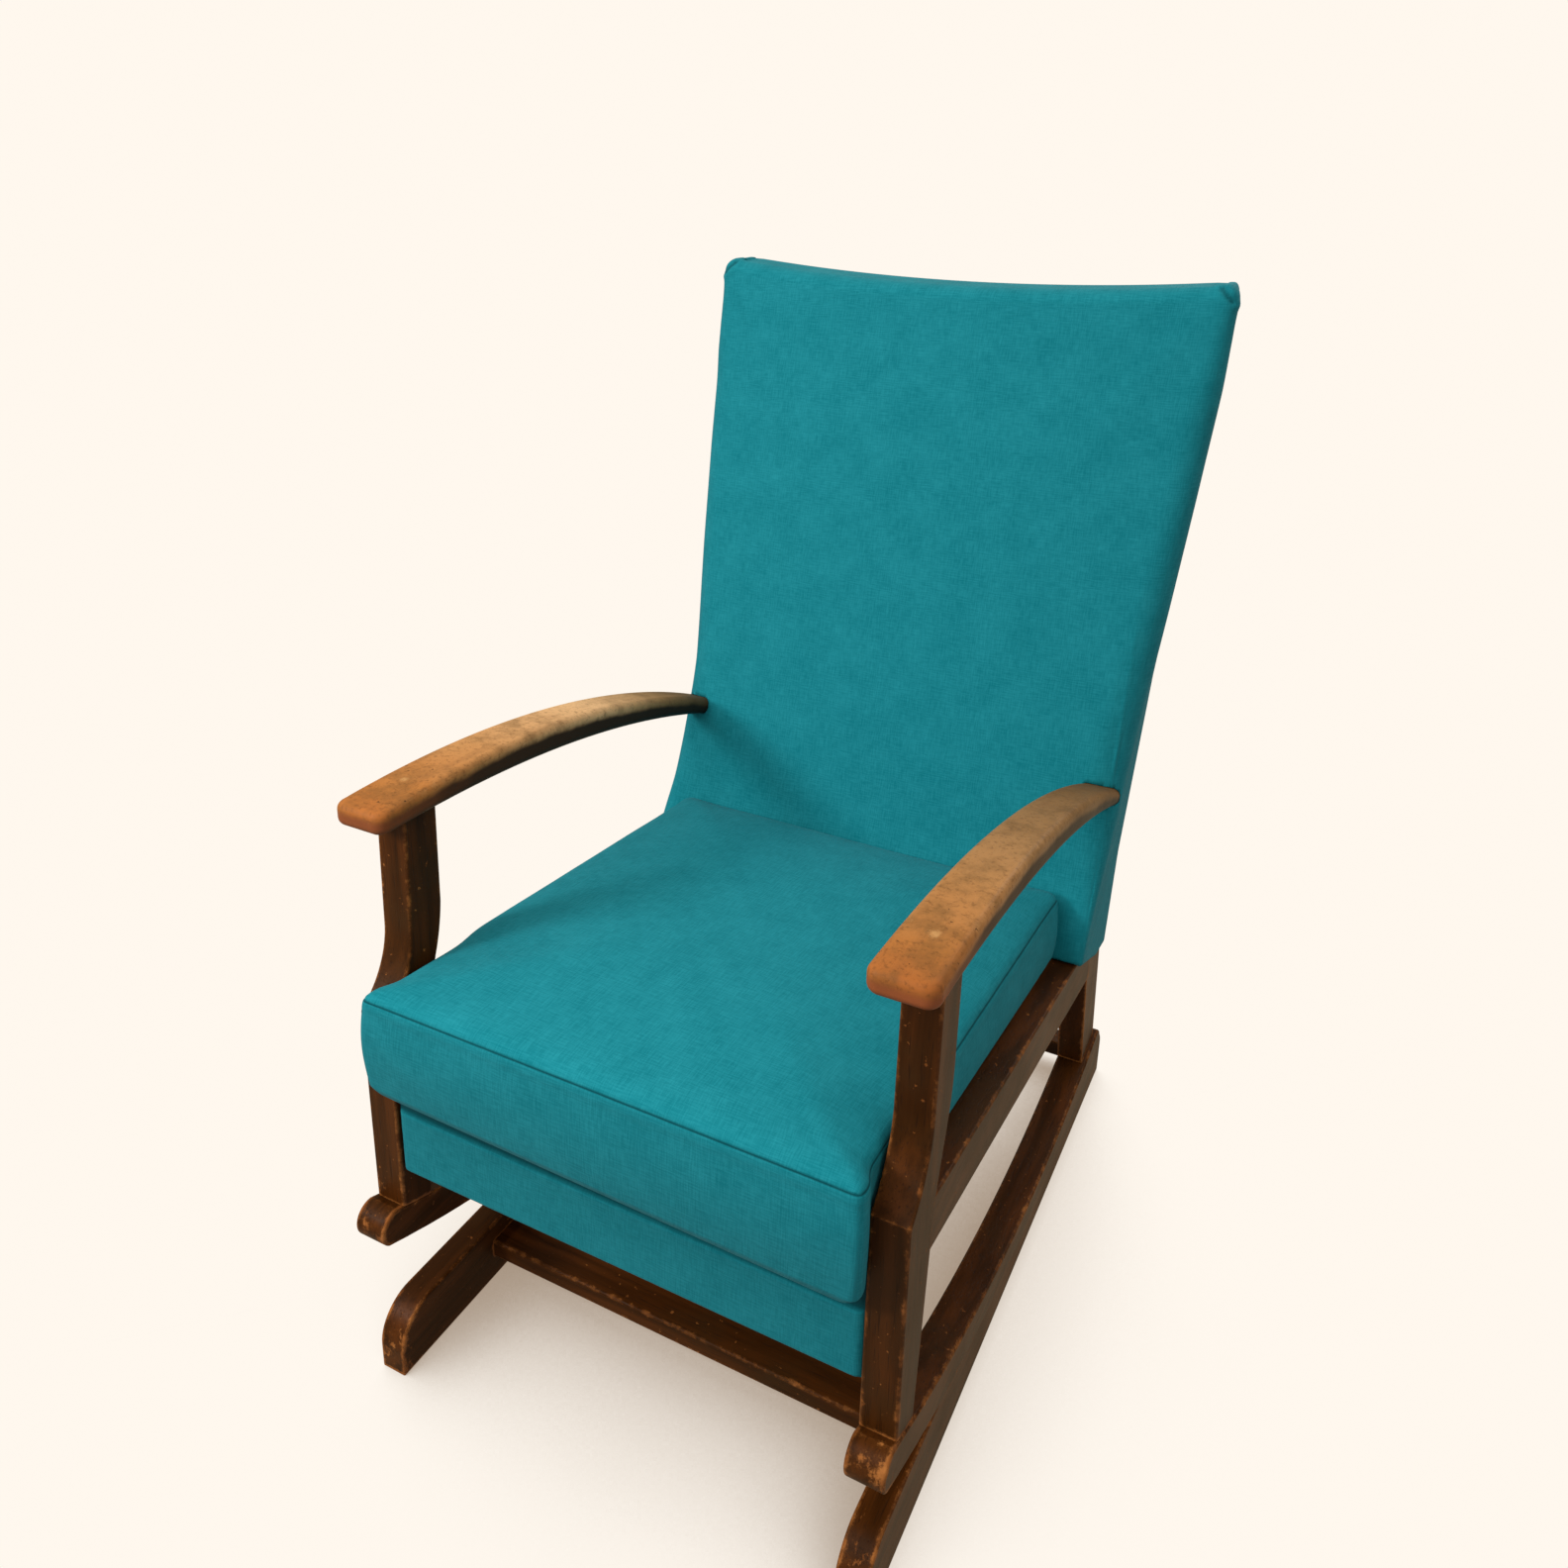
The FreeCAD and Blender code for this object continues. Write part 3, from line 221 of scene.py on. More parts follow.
def add_sky():
    scene.view_settings.view_transform = "Standard"
    world = bpy.data.worlds.new("studio")
    world.use_nodes = True
    sheet, ground = Sheet(world.node_tree), world.node_tree.nodes["Background"].inputs
    upward = sheet.add("SeparateXYZ", sheet.add("TexCoord").outputs["Generated"]).outputs["Z"]
    climb = sheet.add("MapRange", Value=upward, From_Min=SKY_START, To_Min=SKY_LOW, To_Max=SKY_HIGH)
    seen = sheet.add("LightPath").outputs["Is Camera Ray"]
    strength = sheet.add("Mix", Factor=seen, A=climb.outputs["Result"], B=1.0)
    plain = sheet.add("RGB")
    sheet.set(plain.outputs[0], GROUND_COLOUR)
    sheet.fill(ground, Color=warm_mirrored(sheet, plain.outputs[0]), Strength=strength.outputs["Result"])
    scene.world = world


def add_lamp(name, place, aim, watts, width):
    data = bpy.data.lights.new(name, "AREA")
    data.shape = "DISK"
    data.size = width
    data.energy = watts
    data.color = LAMP_COLOUR
    lamp = bpy.data.objects.new(name, data)
    lamp.location = place
    lamp.rotation_mode = "QUATERNION"
    lamp.rotation_quaternion = (Vector(aim) - Vector(place)).to_track_quat("-Z", "Y")
    scene.collection.objects.link(lamp)


def add_floor():
    deselect()
    bpy.ops.mesh.primitive_plane_add(size=FLOOR_SIZE)
    floor = bpy.context.object
    floor.name = "floor"
    floor.visible_diffuse = False
    paint = bpy.data.materials.new("pale_floor")
    paint.use_nodes = True
    sheet = Sheet(paint.node_tree)
    sky = sheet.add("AmbientOcclusion", Distance=SHADE_REACH)
    sky.samples = SHADE_RAYS
    shade = sheet.step(sky.outputs["AO"], SHADE_FULL, SHADE_NONE)
    tone = sheet.blend(shade, SHADE_COLOUR, GROUND_COLOUR)
    glow = sheet.add("Emission", Color=warm_mirrored(sheet, tone))
    sheet.set(paint.node_tree.nodes["Material Output"].inputs["Surface"], glow.outputs[0])
    floor.data.materials.append(paint)


add_sky()
for name, lamp in LAMPS.items():
    add_lamp(name, **lamp)
add_floor()
print("sky, floor and lamps:", list(LAMPS))

# %% [markdown]
# ## Node groups that several finishes share
# Weave, timber grain and edge wear each become one shader node group, placed in every finish that
# needs it with its own values.
#
# The cover is a plain weave of slightly uneven yarns. Real threads are drawn from the cloth's own
# map, whose unit is a metre: two waves make the over and under, and two noises that are stretched
# along the yarns make the slubs. A broad noise gives the cloudy fading of an old cover.

# %% Weave
def weave_group():
    tree, sheet, entry, leave = node_group(
        "plain weave", [("Map", "Vector"), ("Yarn", "Float")],
        [("Height", "Float"), ("Slub", "Float"), ("Cloud", "Float")])
    axes = sheet.add("SeparateXYZ", entry["Map"]).outputs
    turns = sheet.math("DIVIDE", math.pi, entry["Yarn"])
    warp, weft = (sheet.math("SINE", sheet.times(axes[axis], turns)) for axis in "XY")
    over = sheet.math("ABSOLUTE", sheet.times(warp, weft))
    along_x = sheet.noise(sheet.stretched(entry["Map"], (60.0, 760.0, 1.0)), 1.0, 3.0, 0.6)
    along_y = sheet.noise(sheet.stretched(entry["Map"], (760.0, 60.0, 1.0), (3.1, 1.7, 0.0)), 1.0, 3.0, 0.6)
    slub = sheet.times(sheet.math("ADD", along_x, along_y), 0.5)
    height = sheet.math("ADD", sheet.times(over, 0.4), slub)
    sheet.fill(leave, Height=height, Slub=slub, Cloud=sheet.noise(entry["Map"], 22.0, 4.0, 0.62))
    return tree


WEAVE = weave_group()
print("node group:", WEAVE.name)

# %% [markdown]
# Timber grain is noise that is drawn out along the board. The point that goes in has the board's
# length along X, so a finish turns the object's own coordinates first.

# %% Grain
GRAIN_SWAY = (0.02, 0.02, 0.02)


def grain_group():
    tree, sheet, entry, leave = node_group(
        "timber grain", [("Point", "Vector")],
        [("Figure", "Float"), ("Pores", "Float"), ("Cloud", "Float")])
    bent = sheet.add("TexNoise", Vector=entry["Point"], Scale=4.0, Detail=2.0).outputs["Color"]
    sway = sheet.add("VectorMath", bent, GRAIN_SWAY)
    sway.operation = "MULTIPLY"
    swayed = sheet.add("VectorMath", entry["Point"], sway.outputs[0])
    figure = sheet.noise(sheet.stretched(swayed.outputs[0], (3.0, 70.0, 70.0)), 1.0, 4.0, 0.55)
    pores = sheet.noise(sheet.stretched(entry["Point"], (28.0, 620.0, 620.0)), 1.0, 2.0, 0.6)
    cloud = sheet.noise(entry["Point"], 9.0, 4.0, 0.6)
    sheet.fill(leave, Figure=figure, Pores=sheet.step(pores, 0.56, 0.70), Cloud=cloud)
    return tree


GRAIN = grain_group()
print("node group:", GRAIN.name)

# %% [markdown]
# Stain wears off first along the edges. Rays that start at the surface and look into the wood soon
# come out again near an edge, so their share marks it, whatever the edge's rounding. Noise breaks
# the line up, and a second, sharper noise adds loose nicks on the faces.

# %% Edge wear
def wear_group():
    tree, sheet, entry, leave = node_group(
        "edge wear", [("Point", "Vector"), ("Reach", "Float"), ("Amount", "Float")],
        [("Edge", "Float"), ("Nicks", "Float")])
    rays = sheet.add("AmbientOcclusion", Distance=entry["Reach"])
    rays.inside = True
    rays.only_local = True
    rays.samples = 8
    near = sheet.math("SUBTRACT", 1.0, rays.outputs["AO"])
    rough = sheet.noise(entry["Point"], 75.0, 6.0, 0.72)
    patchy = sheet.times(sheet.math("SUBTRACT", rough, 0.5), 1.1)
    edge = sheet.math("ADD", sheet.math("ADD", near, patchy), entry["Amount"])
    speck = sheet.noise(entry["Point"], 150.0, 3.0, 0.65)
    sheet.fill(leave, Edge=sheet.step(edge, 0.30, 0.42), Nicks=sheet.step(speck, 0.675, 0.715))
    return tree


WEAR = wear_group()
print("node group:", WEAR.name)

# %% [markdown]
# ## Finishes
# ### Teal cloth
# The yarns decide the colour point by point: a lighter one where they stand proud, a darker one
# between them. Seams, pleats and the crevice under the cushion get painted shade: their mark darkens
# the colour. The sheen is the soft edge light of short fibres, the same all over, so it is set on
# the shader itself.

# %% Teal cloth
# Painted shade in creases: how dark it is against the cloth's colour, and how much of it is laid on.
CREASE_SHADE_TONE, CREASE_SHADE_SHARE = 0.15, 0.8


def new_finish(name):
    finish = bpy.data.materials.new(name)
    finish.use_nodes = True
    sheet = Sheet(finish.node_tree)
    return finish, sheet, finish.node_tree.nodes["Principled BSDF"].inputs


def raise_surface(sheet, shader, height, depth, strength):
    bump = sheet.add("Bump", Strength=strength, Distance=depth, Height=height)
    sheet.set(shader["Normal"], bump.outputs["Normal"])


def woven(name, dark, light, yarn, sheen):
    finish, sheet, shader = new_finish(name)
    cloth = sheet.add("UVMap")
    cloth.uv_map = "Cloth"
    yarns = place_group(sheet, WEAVE, Map=cloth.outputs["UV"], Yarn=yarn)
    threads = sheet.times(sheet.step(yarns["Slub"], 0.36, 0.66), 0.65)
    tone = sheet.times_plus(sheet.step(yarns["Cloud"], 0.25, 0.78), 0.35, threads)
    colour = sheet.blend(tone, dark, light)
    # Painted shade: where a piece marks a seam, pleat or recess, the colour is darkened towards a shade
    # colour.
    shaded_crease = sheet.add("Attribute")
    shaded_crease.attribute_name = "shaded_crease"
    crease_shade_colour = [CREASE_SHADE_TONE * part for part in dark]
    shade = sheet.times(shaded_crease.outputs["Fac"], CREASE_SHADE_SHARE)
    rough = sheet.times_plus(yarns["Slub"], -0.2, 1.0)
    sheet.fill(shader, Base_Color=sheet.blend(shade, colour, crease_shade_colour), Roughness=rough)
    sheet.fill(shader, Specular_IOR_Level=0.04, Sheen_Weight=sheen, Sheen_Roughness=0.45)
    raise_surface(sheet, shader, yarns["Height"], 0.0006, 0.55)
    return finish


teal_cloth = woven("teal_cloth", (0.0035, 0.166, 0.212), (0.0155, 0.258, 0.321), 0.0012, 0.03)
print("finish:", teal_cloth.name)

# %% [markdown]
# ### Stained timber
# The frame is dark brown stained beech under a thin, dull varnish. Its edges are rubbed down to
# orange wood, the faces carry small nicks, and the front tips of the rockers and runners have lost
# stain where shoes knock them. One finish is made for each direction of the grain.

# %% Stained timber
GRAIN_TURNS = {"X": (0.0, 0.0, 0.0), "Y": (0.0, 0.0, math.pi / 2), "Z": (0.0, math.pi / 2, 0.0)}
STAIN_DARK, STAIN_LIGHT = (0.034, 0.0100, 0.0012), (0.085, 0.024, 0.0035)
STAIN_CLOUD, STAIN_PORES = (0.045, 0.018, 0.0045), (0.012, 0.0045, 0.0018)
BARE_DARK, BARE_LIGHT = (0.24, 0.075, 0.015), (0.45, 0.17, 0.042)


def along_board(sheet, axis):
    """The object's coordinates, turned so that the board's length lies along X."""
    place = sheet.add("TexCoord").outputs["Object"]
    return place, sheet.add("Mapping", Vector=place, Rotation=GRAIN_TURNS[axis]).outputs["Vector"]


def stained_timber(axis):
    finish, sheet, shader = new_finish(f"stained_timber_{axis.lower()}")
    place, board = along_board(sheet, axis)
    grain = place_group(sheet, GRAIN, Point=board)
    axes = sheet.add("SeparateXYZ", place).outputs
    tip = sheet.step(axes["Y"], behind(0.022), behind(-0.022))
    low = sheet.step(axes["Z"], 0.24, 0.21)
    knocked = sheet.times(tip, low)
    amount = sheet.times_plus(knocked, 0.16, 0.10)
    wear = place_group(sheet, WEAR, Point=board, Reach=0.0045, Amount=amount)
    stain = sheet.blend(sheet.step(grain["Figure"], 0.32, 0.68), STAIN_DARK, STAIN_LIGHT)
    stain = sheet.blend(sheet.step(grain["Cloud"], 0.45, 0.75), stain, STAIN_CLOUD)
    stain = sheet.blend(sheet.times(grain["Pores"], 0.5), stain, STAIN_PORES)
    bare = sheet.blend(sheet.step(grain["Figure"], 0.3, 0.7), BARE_DARK, BARE_LIGHT)
    worn = sheet.math("MAXIMUM", wear["Edge"], sheet.times(wear["Nicks"], 0.8))
    colour = sheet.blend(sheet.times(worn, 0.85), stain, bare)
    rough = sheet.times_plus(worn, 0.22, sheet.times_plus(grain["Cloud"], 0.22, 0.32))
    sheet.fill(shader, Base_Color=colour, Roughness=rough, Specular_IOR_Level=0.08)
    relief = sheet.times_plus(grain["Pores"], -0.5, sheet.times(worn, -0.6))
    raise_surface(sheet, shader, relief, 0.0004, 0.6)
    return finish


stained = {axis: stained_timber(axis) for axis in "XYZ"}
print("finishes:", [finish.name for finish in stained.values()])

# %% [markdown]
# ### Arm timber
# Hands have worn the arms' tops to a honey colour, the left one lighter than the right. The tips are
# redder, and the rear ends and the lower half of the sides are nearly black with old polish. The
# colour runs along the arm by its place, and the depth under the arched top tells top from underside.

# %% Arm timber
def colour_run(sheet, given, stops):
    ramp = sheet.add("ValToRGB", given)
    marks = ramp.color_ramp.elements
    while len(marks) < len(stops):
        marks.new(1.0)
    for mark, (place, colour) in zip(marks, stops):
        mark.position = place
        mark.color = (*colour, 1.0)
    return ramp.outputs["Color"]


ARM_FRONT, ARM_LENGTH = (behind(-0.002), 0.620), 0.636
ARM_FALL, ARM_SAG = 0.127, 0.0391


def below_arm_top(sheet, place):
    """How far a point lies under the arm's arched top."""
    along = sheet.math("DIVIDE", sheet.math("SUBTRACT", place["Y"], ARM_FRONT[0]), ARM_LENGTH)
    bow = sheet.times(along, sheet.math("SUBTRACT", 1.0, along))
    arch = sheet.times(bow, 4.0 * ARM_SAG)
    top = sheet.math("ADD", sheet.times_plus(along, -ARM_FALL, ARM_FRONT[1]), arch)
    return sheet.math("SUBTRACT", top, place["Z"])


def arm_timber():
    finish, sheet, shader = new_finish("arm_timber")
    place, board = along_board(sheet, "Y")
    axes = sheet.add("SeparateXYZ", place).outputs
    grain = place_group(sheet, GRAIN, Point=board)
    wear = place_group(sheet, WEAR, Point=board, Reach=0.009, Amount=0.04)
    cloud = sheet.math("SUBTRACT", grain["Cloud"], 0.5)
    run = sheet.step(sheet.times_plus(cloud, 0.12, axes["Y"]), behind(-0.01), behind(0.62))
    run.node.interpolation_type = "LINEAR"
    top = colour_run(sheet, run, [
        (0.0, (0.34, 0.105, 0.024)), (0.09, (0.40, 0.155, 0.038)), (0.25, (0.50, 0.245, 0.088)),
        (0.55, (0.74, 0.460, 0.230)), (0.78, (0.27, 0.160, 0.066)), (0.93, (0.09, 0.060, 0.028)),
        (1.0, (0.045, 0.032, 0.018)),
    ])
    right = sheet.times(sheet.step(axes["X"], -0.1, 0.1), sheet.step(run, 0.05, 0.55))
    streaks = sheet.times(sheet.step(grain["Figure"], 0.5, 0.72), 0.25)
    patina = sheet.times(sheet.step(sheet.noise(place, 26.0, 6.0, 0.72), 0.42, 0.68), 0.48)
    specks = sheet.times(sheet.step(sheet.noise(place, 210.0, 4.0, 0.7), 0.52, 0.66), 0.4)
    rubbed = sheet.times(wear["Edge"], sheet.times(sheet.step(run, 0.04, 0.16), 0.8))
    rubbed = sheet.times(rubbed, sheet.step(run, 0.95, 0.75))
    pits = sheet.times(wear["Nicks"], sheet.step(run, 0.6, 0.05))
    layers = (
        (sheet.times(right, 0.8), (0.19, 0.088, 0.020)), (streaks, (0.17, 0.075, 0.028)),
        (patina, (0.110, 0.060, 0.020)), (specks, (0.085, 0.036, 0.012)),
        (rubbed, (0.58, 0.33, 0.13)), (sheet.times(pits, 0.85), (0.035, 0.017, 0.010)),
    )
    for share, colour in layers:
        top = sheet.blend(share, top, colour)
    under = colour_run(sheet, run, [
        (0.0, (0.30, 0.085, 0.028)), (0.06, (0.17, 0.055, 0.020)), (0.2, (0.055, 0.026, 0.013)),
        (1.0, (0.018, 0.014, 0.010)),
    ])
    depth = sheet.times_plus(cloud, 0.016, below_arm_top(sheet, axes))
    colour = sheet.blend(sheet.step(depth, 0.006, 0.013), top, under)
    rough = sheet.times_plus(grain["Cloud"], 0.3, 0.30)
    sheet.fill(shader, Base_Color=colour, Roughness=rough, Specular_IOR_Level=0.06)
    relief = sheet.times_plus(grain["Pores"], -0.4, sheet.times(pits, -1.0))
    raise_surface(sheet, shader, relief, 0.0004, 0.6)
    return finish


arm_finish = arm_timber()
print("finish:", arm_finish.name)

# %% [markdown]
# ### Raw timber and metal
# The back's rails, the rear corner blocks and the dowels were never stained. The spring plates are
# black japanned steel, the springs dull oiled wire, the screws plain steel: for all of them a little
# noise in colour and roughness keeps the surface from looking like plastic.

# %% Raw timber and metal
RAW_DARK, RAW_LIGHT = (0.30, 0.17, 0.085), (0.47, 0.30, 0.17)
RAW_PORES, RUBBED_METAL = (0.16, 0.09, 0.045), (0.30, 0.27, 0.24)


def raw_timber(axis):
    finish, sheet, shader = new_finish(f"raw_timber_{axis.lower()}")
    _, board = along_board(sheet, axis)
    grain = place_group(sheet, GRAIN, Point=board)
    wood = sheet.blend(sheet.step(grain["Figure"], 0.3, 0.7), RAW_DARK, RAW_LIGHT)
    wood = sheet.blend(sheet.times(grain["Pores"], 0.4), wood, RAW_PORES)
    sheet.fill(shader, Base_Color=wood, Roughness=sheet.times_plus(grain["Cloud"], 0.2, 0.62))
    raise_surface(sheet, shader, sheet.times(grain["Pores"], -1.0), 0.0003, 0.5)
    return finish


def metal(name, clean, dirty, metallic, smooth, rough):
    finish, sheet, shader = new_finish(name)
    place = sheet.add("TexCoord").outputs["Object"]
    cloud = sheet.noise(place, 60.0, 5.0, 0.65)
    wear = place_group(sheet, WEAR, Point=place, Reach=0.0015, Amount=0.0)
    film = sheet.blend(sheet.step(cloud, 0.42, 0.66), clean, dirty)
    film = sheet.blend(sheet.times(wear["Edge"], 0.5), film, RUBBED_METAL)
    uneven = sheet.times_plus(cloud, rough - smooth, smooth)
    sheet.fill(shader, Base_Color=film, Roughness=uneven, Metallic=metallic)
    raise_surface(sheet, shader, cloud, 0.0002, 0.25)
    return finish


raw = {axis: raw_timber(axis) for axis in "XZ"}
japanned = metal("japanned_sheet", (0.012, 0.011, 0.010), (0.035, 0.026, 0.020), 0.0, 0.28, 0.6)
spring_wire = metal("spring_wire", (0.22, 0.20, 0.18), (0.10, 0.065, 0.045), 1.0, 0.30, 0.65)
screw_steel = metal("screw_steel", (0.42, 0.39, 0.35), (0.20, 0.15, 0.11), 1.0, 0.25, 0.55)
print("finishes:", [finish.name for finish in (*raw.values(), japanned, spring_wire, screw_steel)])

# %% [markdown]
# ### Finish the rigid pieces
# The shapes of the wooden and metal nodes are right as they are, so they only get their finish, with
# the grain along each board's length.

# %% Finish the rigid pieces
def paint_node(node, finish):
    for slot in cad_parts[node].material_slots:
        slot.material = finish


PAIR_FINISHES = {
    "runner": stained["Y"], "rocker": stained["Y"], "side_rail": stained["Y"],
    "front_post": stained["Z"], "rear_post": stained["Z"], "arm": arm_finish,
    "front_corner_block": stained["Z"], "rear_corner_block": raw["Z"],
    "base_plate": japanned, "chair_plate": japanned,
}
SINGLE_FINISHES = {
    "stretcher_front": stained["X"], "stretcher_rear": stained["X"],
    "front_rail": stained["X"], "rear_rail": stained["X"],
    "back_low_rail": raw["X"], "back_top_rail": raw["X"], "frame_dowels": raw["X"],
    "base_plate_screws": screw_steel, "chair_plate_screws": screw_steel,
}
for pair, finish in PAIR_FINISHES.items():
    for side in ("left", "right"):
        paint_node(f"{pair}_{side}", finish)
for node, finish in SINGLE_FINISHES.items():
    paint_node(node, finish)
print("painted", 2 * len(PAIR_FINISHES) + len(SINGLE_FINISHES), "nodes")

# %% [markdown]
# ## Soft pieces
# Every soft piece starts as a cube whose sides are divided into a grid. It is closed, its points lie
# in rows like the threads of the cover, and the grid is finer towards the edges, where seams and
# roundings are. The points are then moved to the piece's outline, ring by ring round its middle.

# %% A divided block of cloth
def cloth_block(name, cuts):
    deselect()
    bpy.ops.mesh.primitive_cube_add(size=2.0)
    piece = bpy.context.object
    piece.name = name
    piece.data.uv_layers[0].name = "Cloth"
    bpy.ops.object.mode_set(mode="EDIT")
    bpy.ops.mesh.select_all(action="SELECT")
    bpy.ops.mesh.subdivide(number_cuts=cuts)
    bpy.ops.object.mode_set(mode="OBJECT")
    bpy.ops.object.shade_smooth()
    return piece, read_points(piece)


def read_points(piece, kind="co"):
    numbers = np.empty(len(piece.data.vertices) * 3)
    piece.data.vertices.foreach_get(kind, numbers)
    return numbers.reshape(-1, 3)


def write_points(piece, *columns):
    piece.data.vertices.foreach_set("co", np.stack(columns, axis=1).ravel())
    piece.data.update()


def near_edges(place):
    """Spread places from -1 to 1 so that they come closer together near both ends."""
    return 0.3 * place + 0.7 * np.sin(place * math.pi / 2)


def rounded_outline(across, along, half_x, half_y, front_radius, back_radius):
    """Square from -1 to 1 to a rectangle with rounded corners; also the way walked along its rim."""
    ring = np.maximum(np.abs(across), np.abs(along))
    rim_u = across / np.where(ring > 0.0, ring, 1.0)
    rim_v = along / np.where(ring > 0.0, ring, 1.0)
    radius = np.where(rim_v < 0.0, front_radius, back_radius)
    on_side = np.abs(rim_u) >= np.abs(rim_v)
    straight = np.where(on_side, half_y, half_x) - radius
    walked = np.where(on_side, np.abs(rim_v), np.abs(rim_u)) * (straight + radius * math.pi / 4)
    turn = np.clip((walked - straight) / radius, 0.0, math.pi / 4)
    beside = np.minimum(walked, straight) + radius * np.sin(turn)
    outward = np.where(on_side, half_x, half_y) - radius * (1.0 - np.cos(turn))
    x = ring * np.where(on_side, outward, beside) * np.sign(rim_u)
    y = ring * np.where(on_side, beside, outward) * np.sign(rim_v)
    return x, y, walked * np.where(on_side, np.sign(rim_v), np.sign(rim_u))


def inset_from_rim(x, y, half_x, half_y, radius):
    """How far a point lies inside a rectangle with rounded corners."""
    past_x, past_y = np.abs(x) - half_x + radius, np.abs(y) - half_y + radius
    outside = np.hypot(np.maximum(past_x, 0.0), np.maximum(past_y, 0.0))
    return np.maximum(radius - outside - np.minimum(np.maximum(past_x, past_y), 0.0), 0.0)


def round_over(inset, radius):
    """Height that a rounded edge has lost, from the radius at the rim to nothing further in."""
    left = np.clip(radius - inset, 0.0, radius)
    return radius - np.sqrt(radius * radius - left * left)


def map_cloth(piece, cube, x_side, y_side, z_side):
    """Give each loop its place on the cloth: one pair of columns for the cube's sides along each axis."""
    corner = np.empty(len(piece.data.loops), dtype=int)
    piece.data.loops.foreach_get("vertex_index", corner)
    middles = np.abs(cube[corner].reshape(-1, 4, 3).mean(axis=1))
    axis = np.repeat(np.argmax(middles, axis=1), 4)
    sides = [np.stack(columns, axis=1)[corner] for columns in (x_side, y_side, z_side)]
    places = np.where(axis[:, None] == 0, sides[0], np.where(axis[:, None] == 1, sides[1], sides[2]))
    piece.data.uv_layers["Cloth"].data.foreach_set("uv", places.ravel())


def mark_points(piece, name, numbers):
    mark = piece.data.attributes.new(name, "FLOAT", "POINT")
    mark.data.foreach_set("value", numbers.astype(np.float32))


def read_marks(piece, name):
    numbers = np.empty(len(piece.data.vertices), dtype=np.float32)
    piece.data.attributes[name].data.foreach_get("value", numbers)
    return numbers.astype(float)


def apply_modifier(piece, kind, **settings):
    pick(piece)
    modifier = piece.modifiers.new(kind.lower(), kind)
    for name, given in settings.items():
        setattr(modifier, name, given)
    bpy.ops.object.modifier_apply(modifier=modifier.name)


def refine(piece):
    apply_modifier(piece, "SUBSURF", levels=1, render_levels=1)


print("helpers for soft pieces:", cloth_block.__name__, rounded_outline.__name__, map_cloth.__name__)

# %% [markdown]
# A stuffed cover isn't a smooth solid: the filling presses it out, most in the middle of each panel and
# least at the seams. A short cloth simulation with pressure inside does that. Held points stay, and all
# movement is scaled down evenly until no point moves further than a set distance, so the piece keeps
# clear of the wood around it.

# %% Blow up a cover
SIM_FRAMES = 20


def swell(piece, held, pressure, most):
    before = read_points(piece)
    group = piece.vertex_groups.new(name="held")
    group.add(np.flatnonzero(held).tolist(), 1.0, "REPLACE")
    pick(piece)
    cloth = piece.modifiers.new("cloth", "CLOTH")
    cloth.settings.vertex_group_mass = group.name
    cloth.settings.use_pressure = True
    cloth.settings.uniform_pressure_force = pressure
    cloth.settings.effector_weights.gravity = 0.0
    cloth.collision_settings.use_collision = False
    cloth.point_cache.frame_end = SIM_FRAMES
    for number in range(1, SIM_FRAMES + 1):
        scene.frame_set(number)
    bpy.ops.object.modifier_apply(modifier=cloth.name)
    scene.frame_set(1)
    piece.vertex_groups.clear()
    moved = read_points(piece) - before
    far = np.linalg.norm(moved, axis=1)
    write_points(piece, *(before + moved * min(1.0, most / far.max())).T)
    print(piece.name, "swelled by up to", round(1000 * far.max(), 1), "mm, kept to", 1000 * most, "mm")


def push_along_normals(piece, distance):
    write_points(piece, *(read_points(piece) + read_points(piece, "normal") * distance[:, None]).T)


def finish_soft(piece, finish, node, body="chair"):
    piece.data.materials.clear()
    piece.data.materials.append(finish)
    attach(piece, body)
    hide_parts(node)


print("covers are blown up for", SIM_FRAMES, "frames")

# %% [markdown]
# ### Seat cushion
# A loose box cushion: a border strip all round, a plain sewn seam along its top, and a top panel that
# rolls over the seam and rises to a low crown. The filling presses the border out, more behind the
# front posts, where it swells over the side rails. The front hangs a little over the apron, and the
# rear end leans with the back.

# %% Seat cushion
SEAT_FALL = 0.0909
SEAT_SLOPE = math.atan(SEAT_FALL)
CUSHION_START = (-0.0285, 0.3500)
CUSHION_HALF, CUSHION_LENGTH, CUSHION_BORDER = 0.2405, 0.5350, 0.0935
CUSHION_CORNERS, CUSHION_FOOT, CUSHION_REAR_LEAN = (0.008, 0.013), 0.011, 0.0240
CUSHION_ROLL, CUSHION_ROLL_REACH = 0.008, 0.007
CUSHION_CROWN, CUSHION_CROWN_REACH = 0.013, 0.20
NOSE_WIDER, NOSE_ROUND, NOSE_BULGE = 0.0090, 0.014, 0.0035
NOSE_DROP, NOSE_TILT, NOSE_REACH, NOSE_SPARE = 0.0125, 0.32, (0.014, 0.036), 0.002
UPRIGHT_REACH = 0.25
SIDE_WIDER, SIDE_BULGE = 0.0050, 0.0060
SEAT_ROOM, AHEAD_OF_POSTS, BEHIND_POSTS = 0.2413, (-0.006, -0.001), (0.086, 0.13)
RAIL_TOP, RAIL_FALL, OVER_RAIL = 0.395, 0.138, (-0.003, 0.010)
BACK_FACE, BACK_FACE_Z, BACK_LEAN = 0.525, 0.323, 0.297
BACK_FOOT, BACK_FOOT_Z, BACK_GAP = 0.0115, (0.335, 0.420), 0.0015
LIP_PLACE, LIP_WIDTH = 0.006, 0.004


def smooth_step(given, low, high):
    share = np.clip((given - low) / (high - low), 0.0, 1.0)
    return share * share * (3.0 - 2.0 * share)


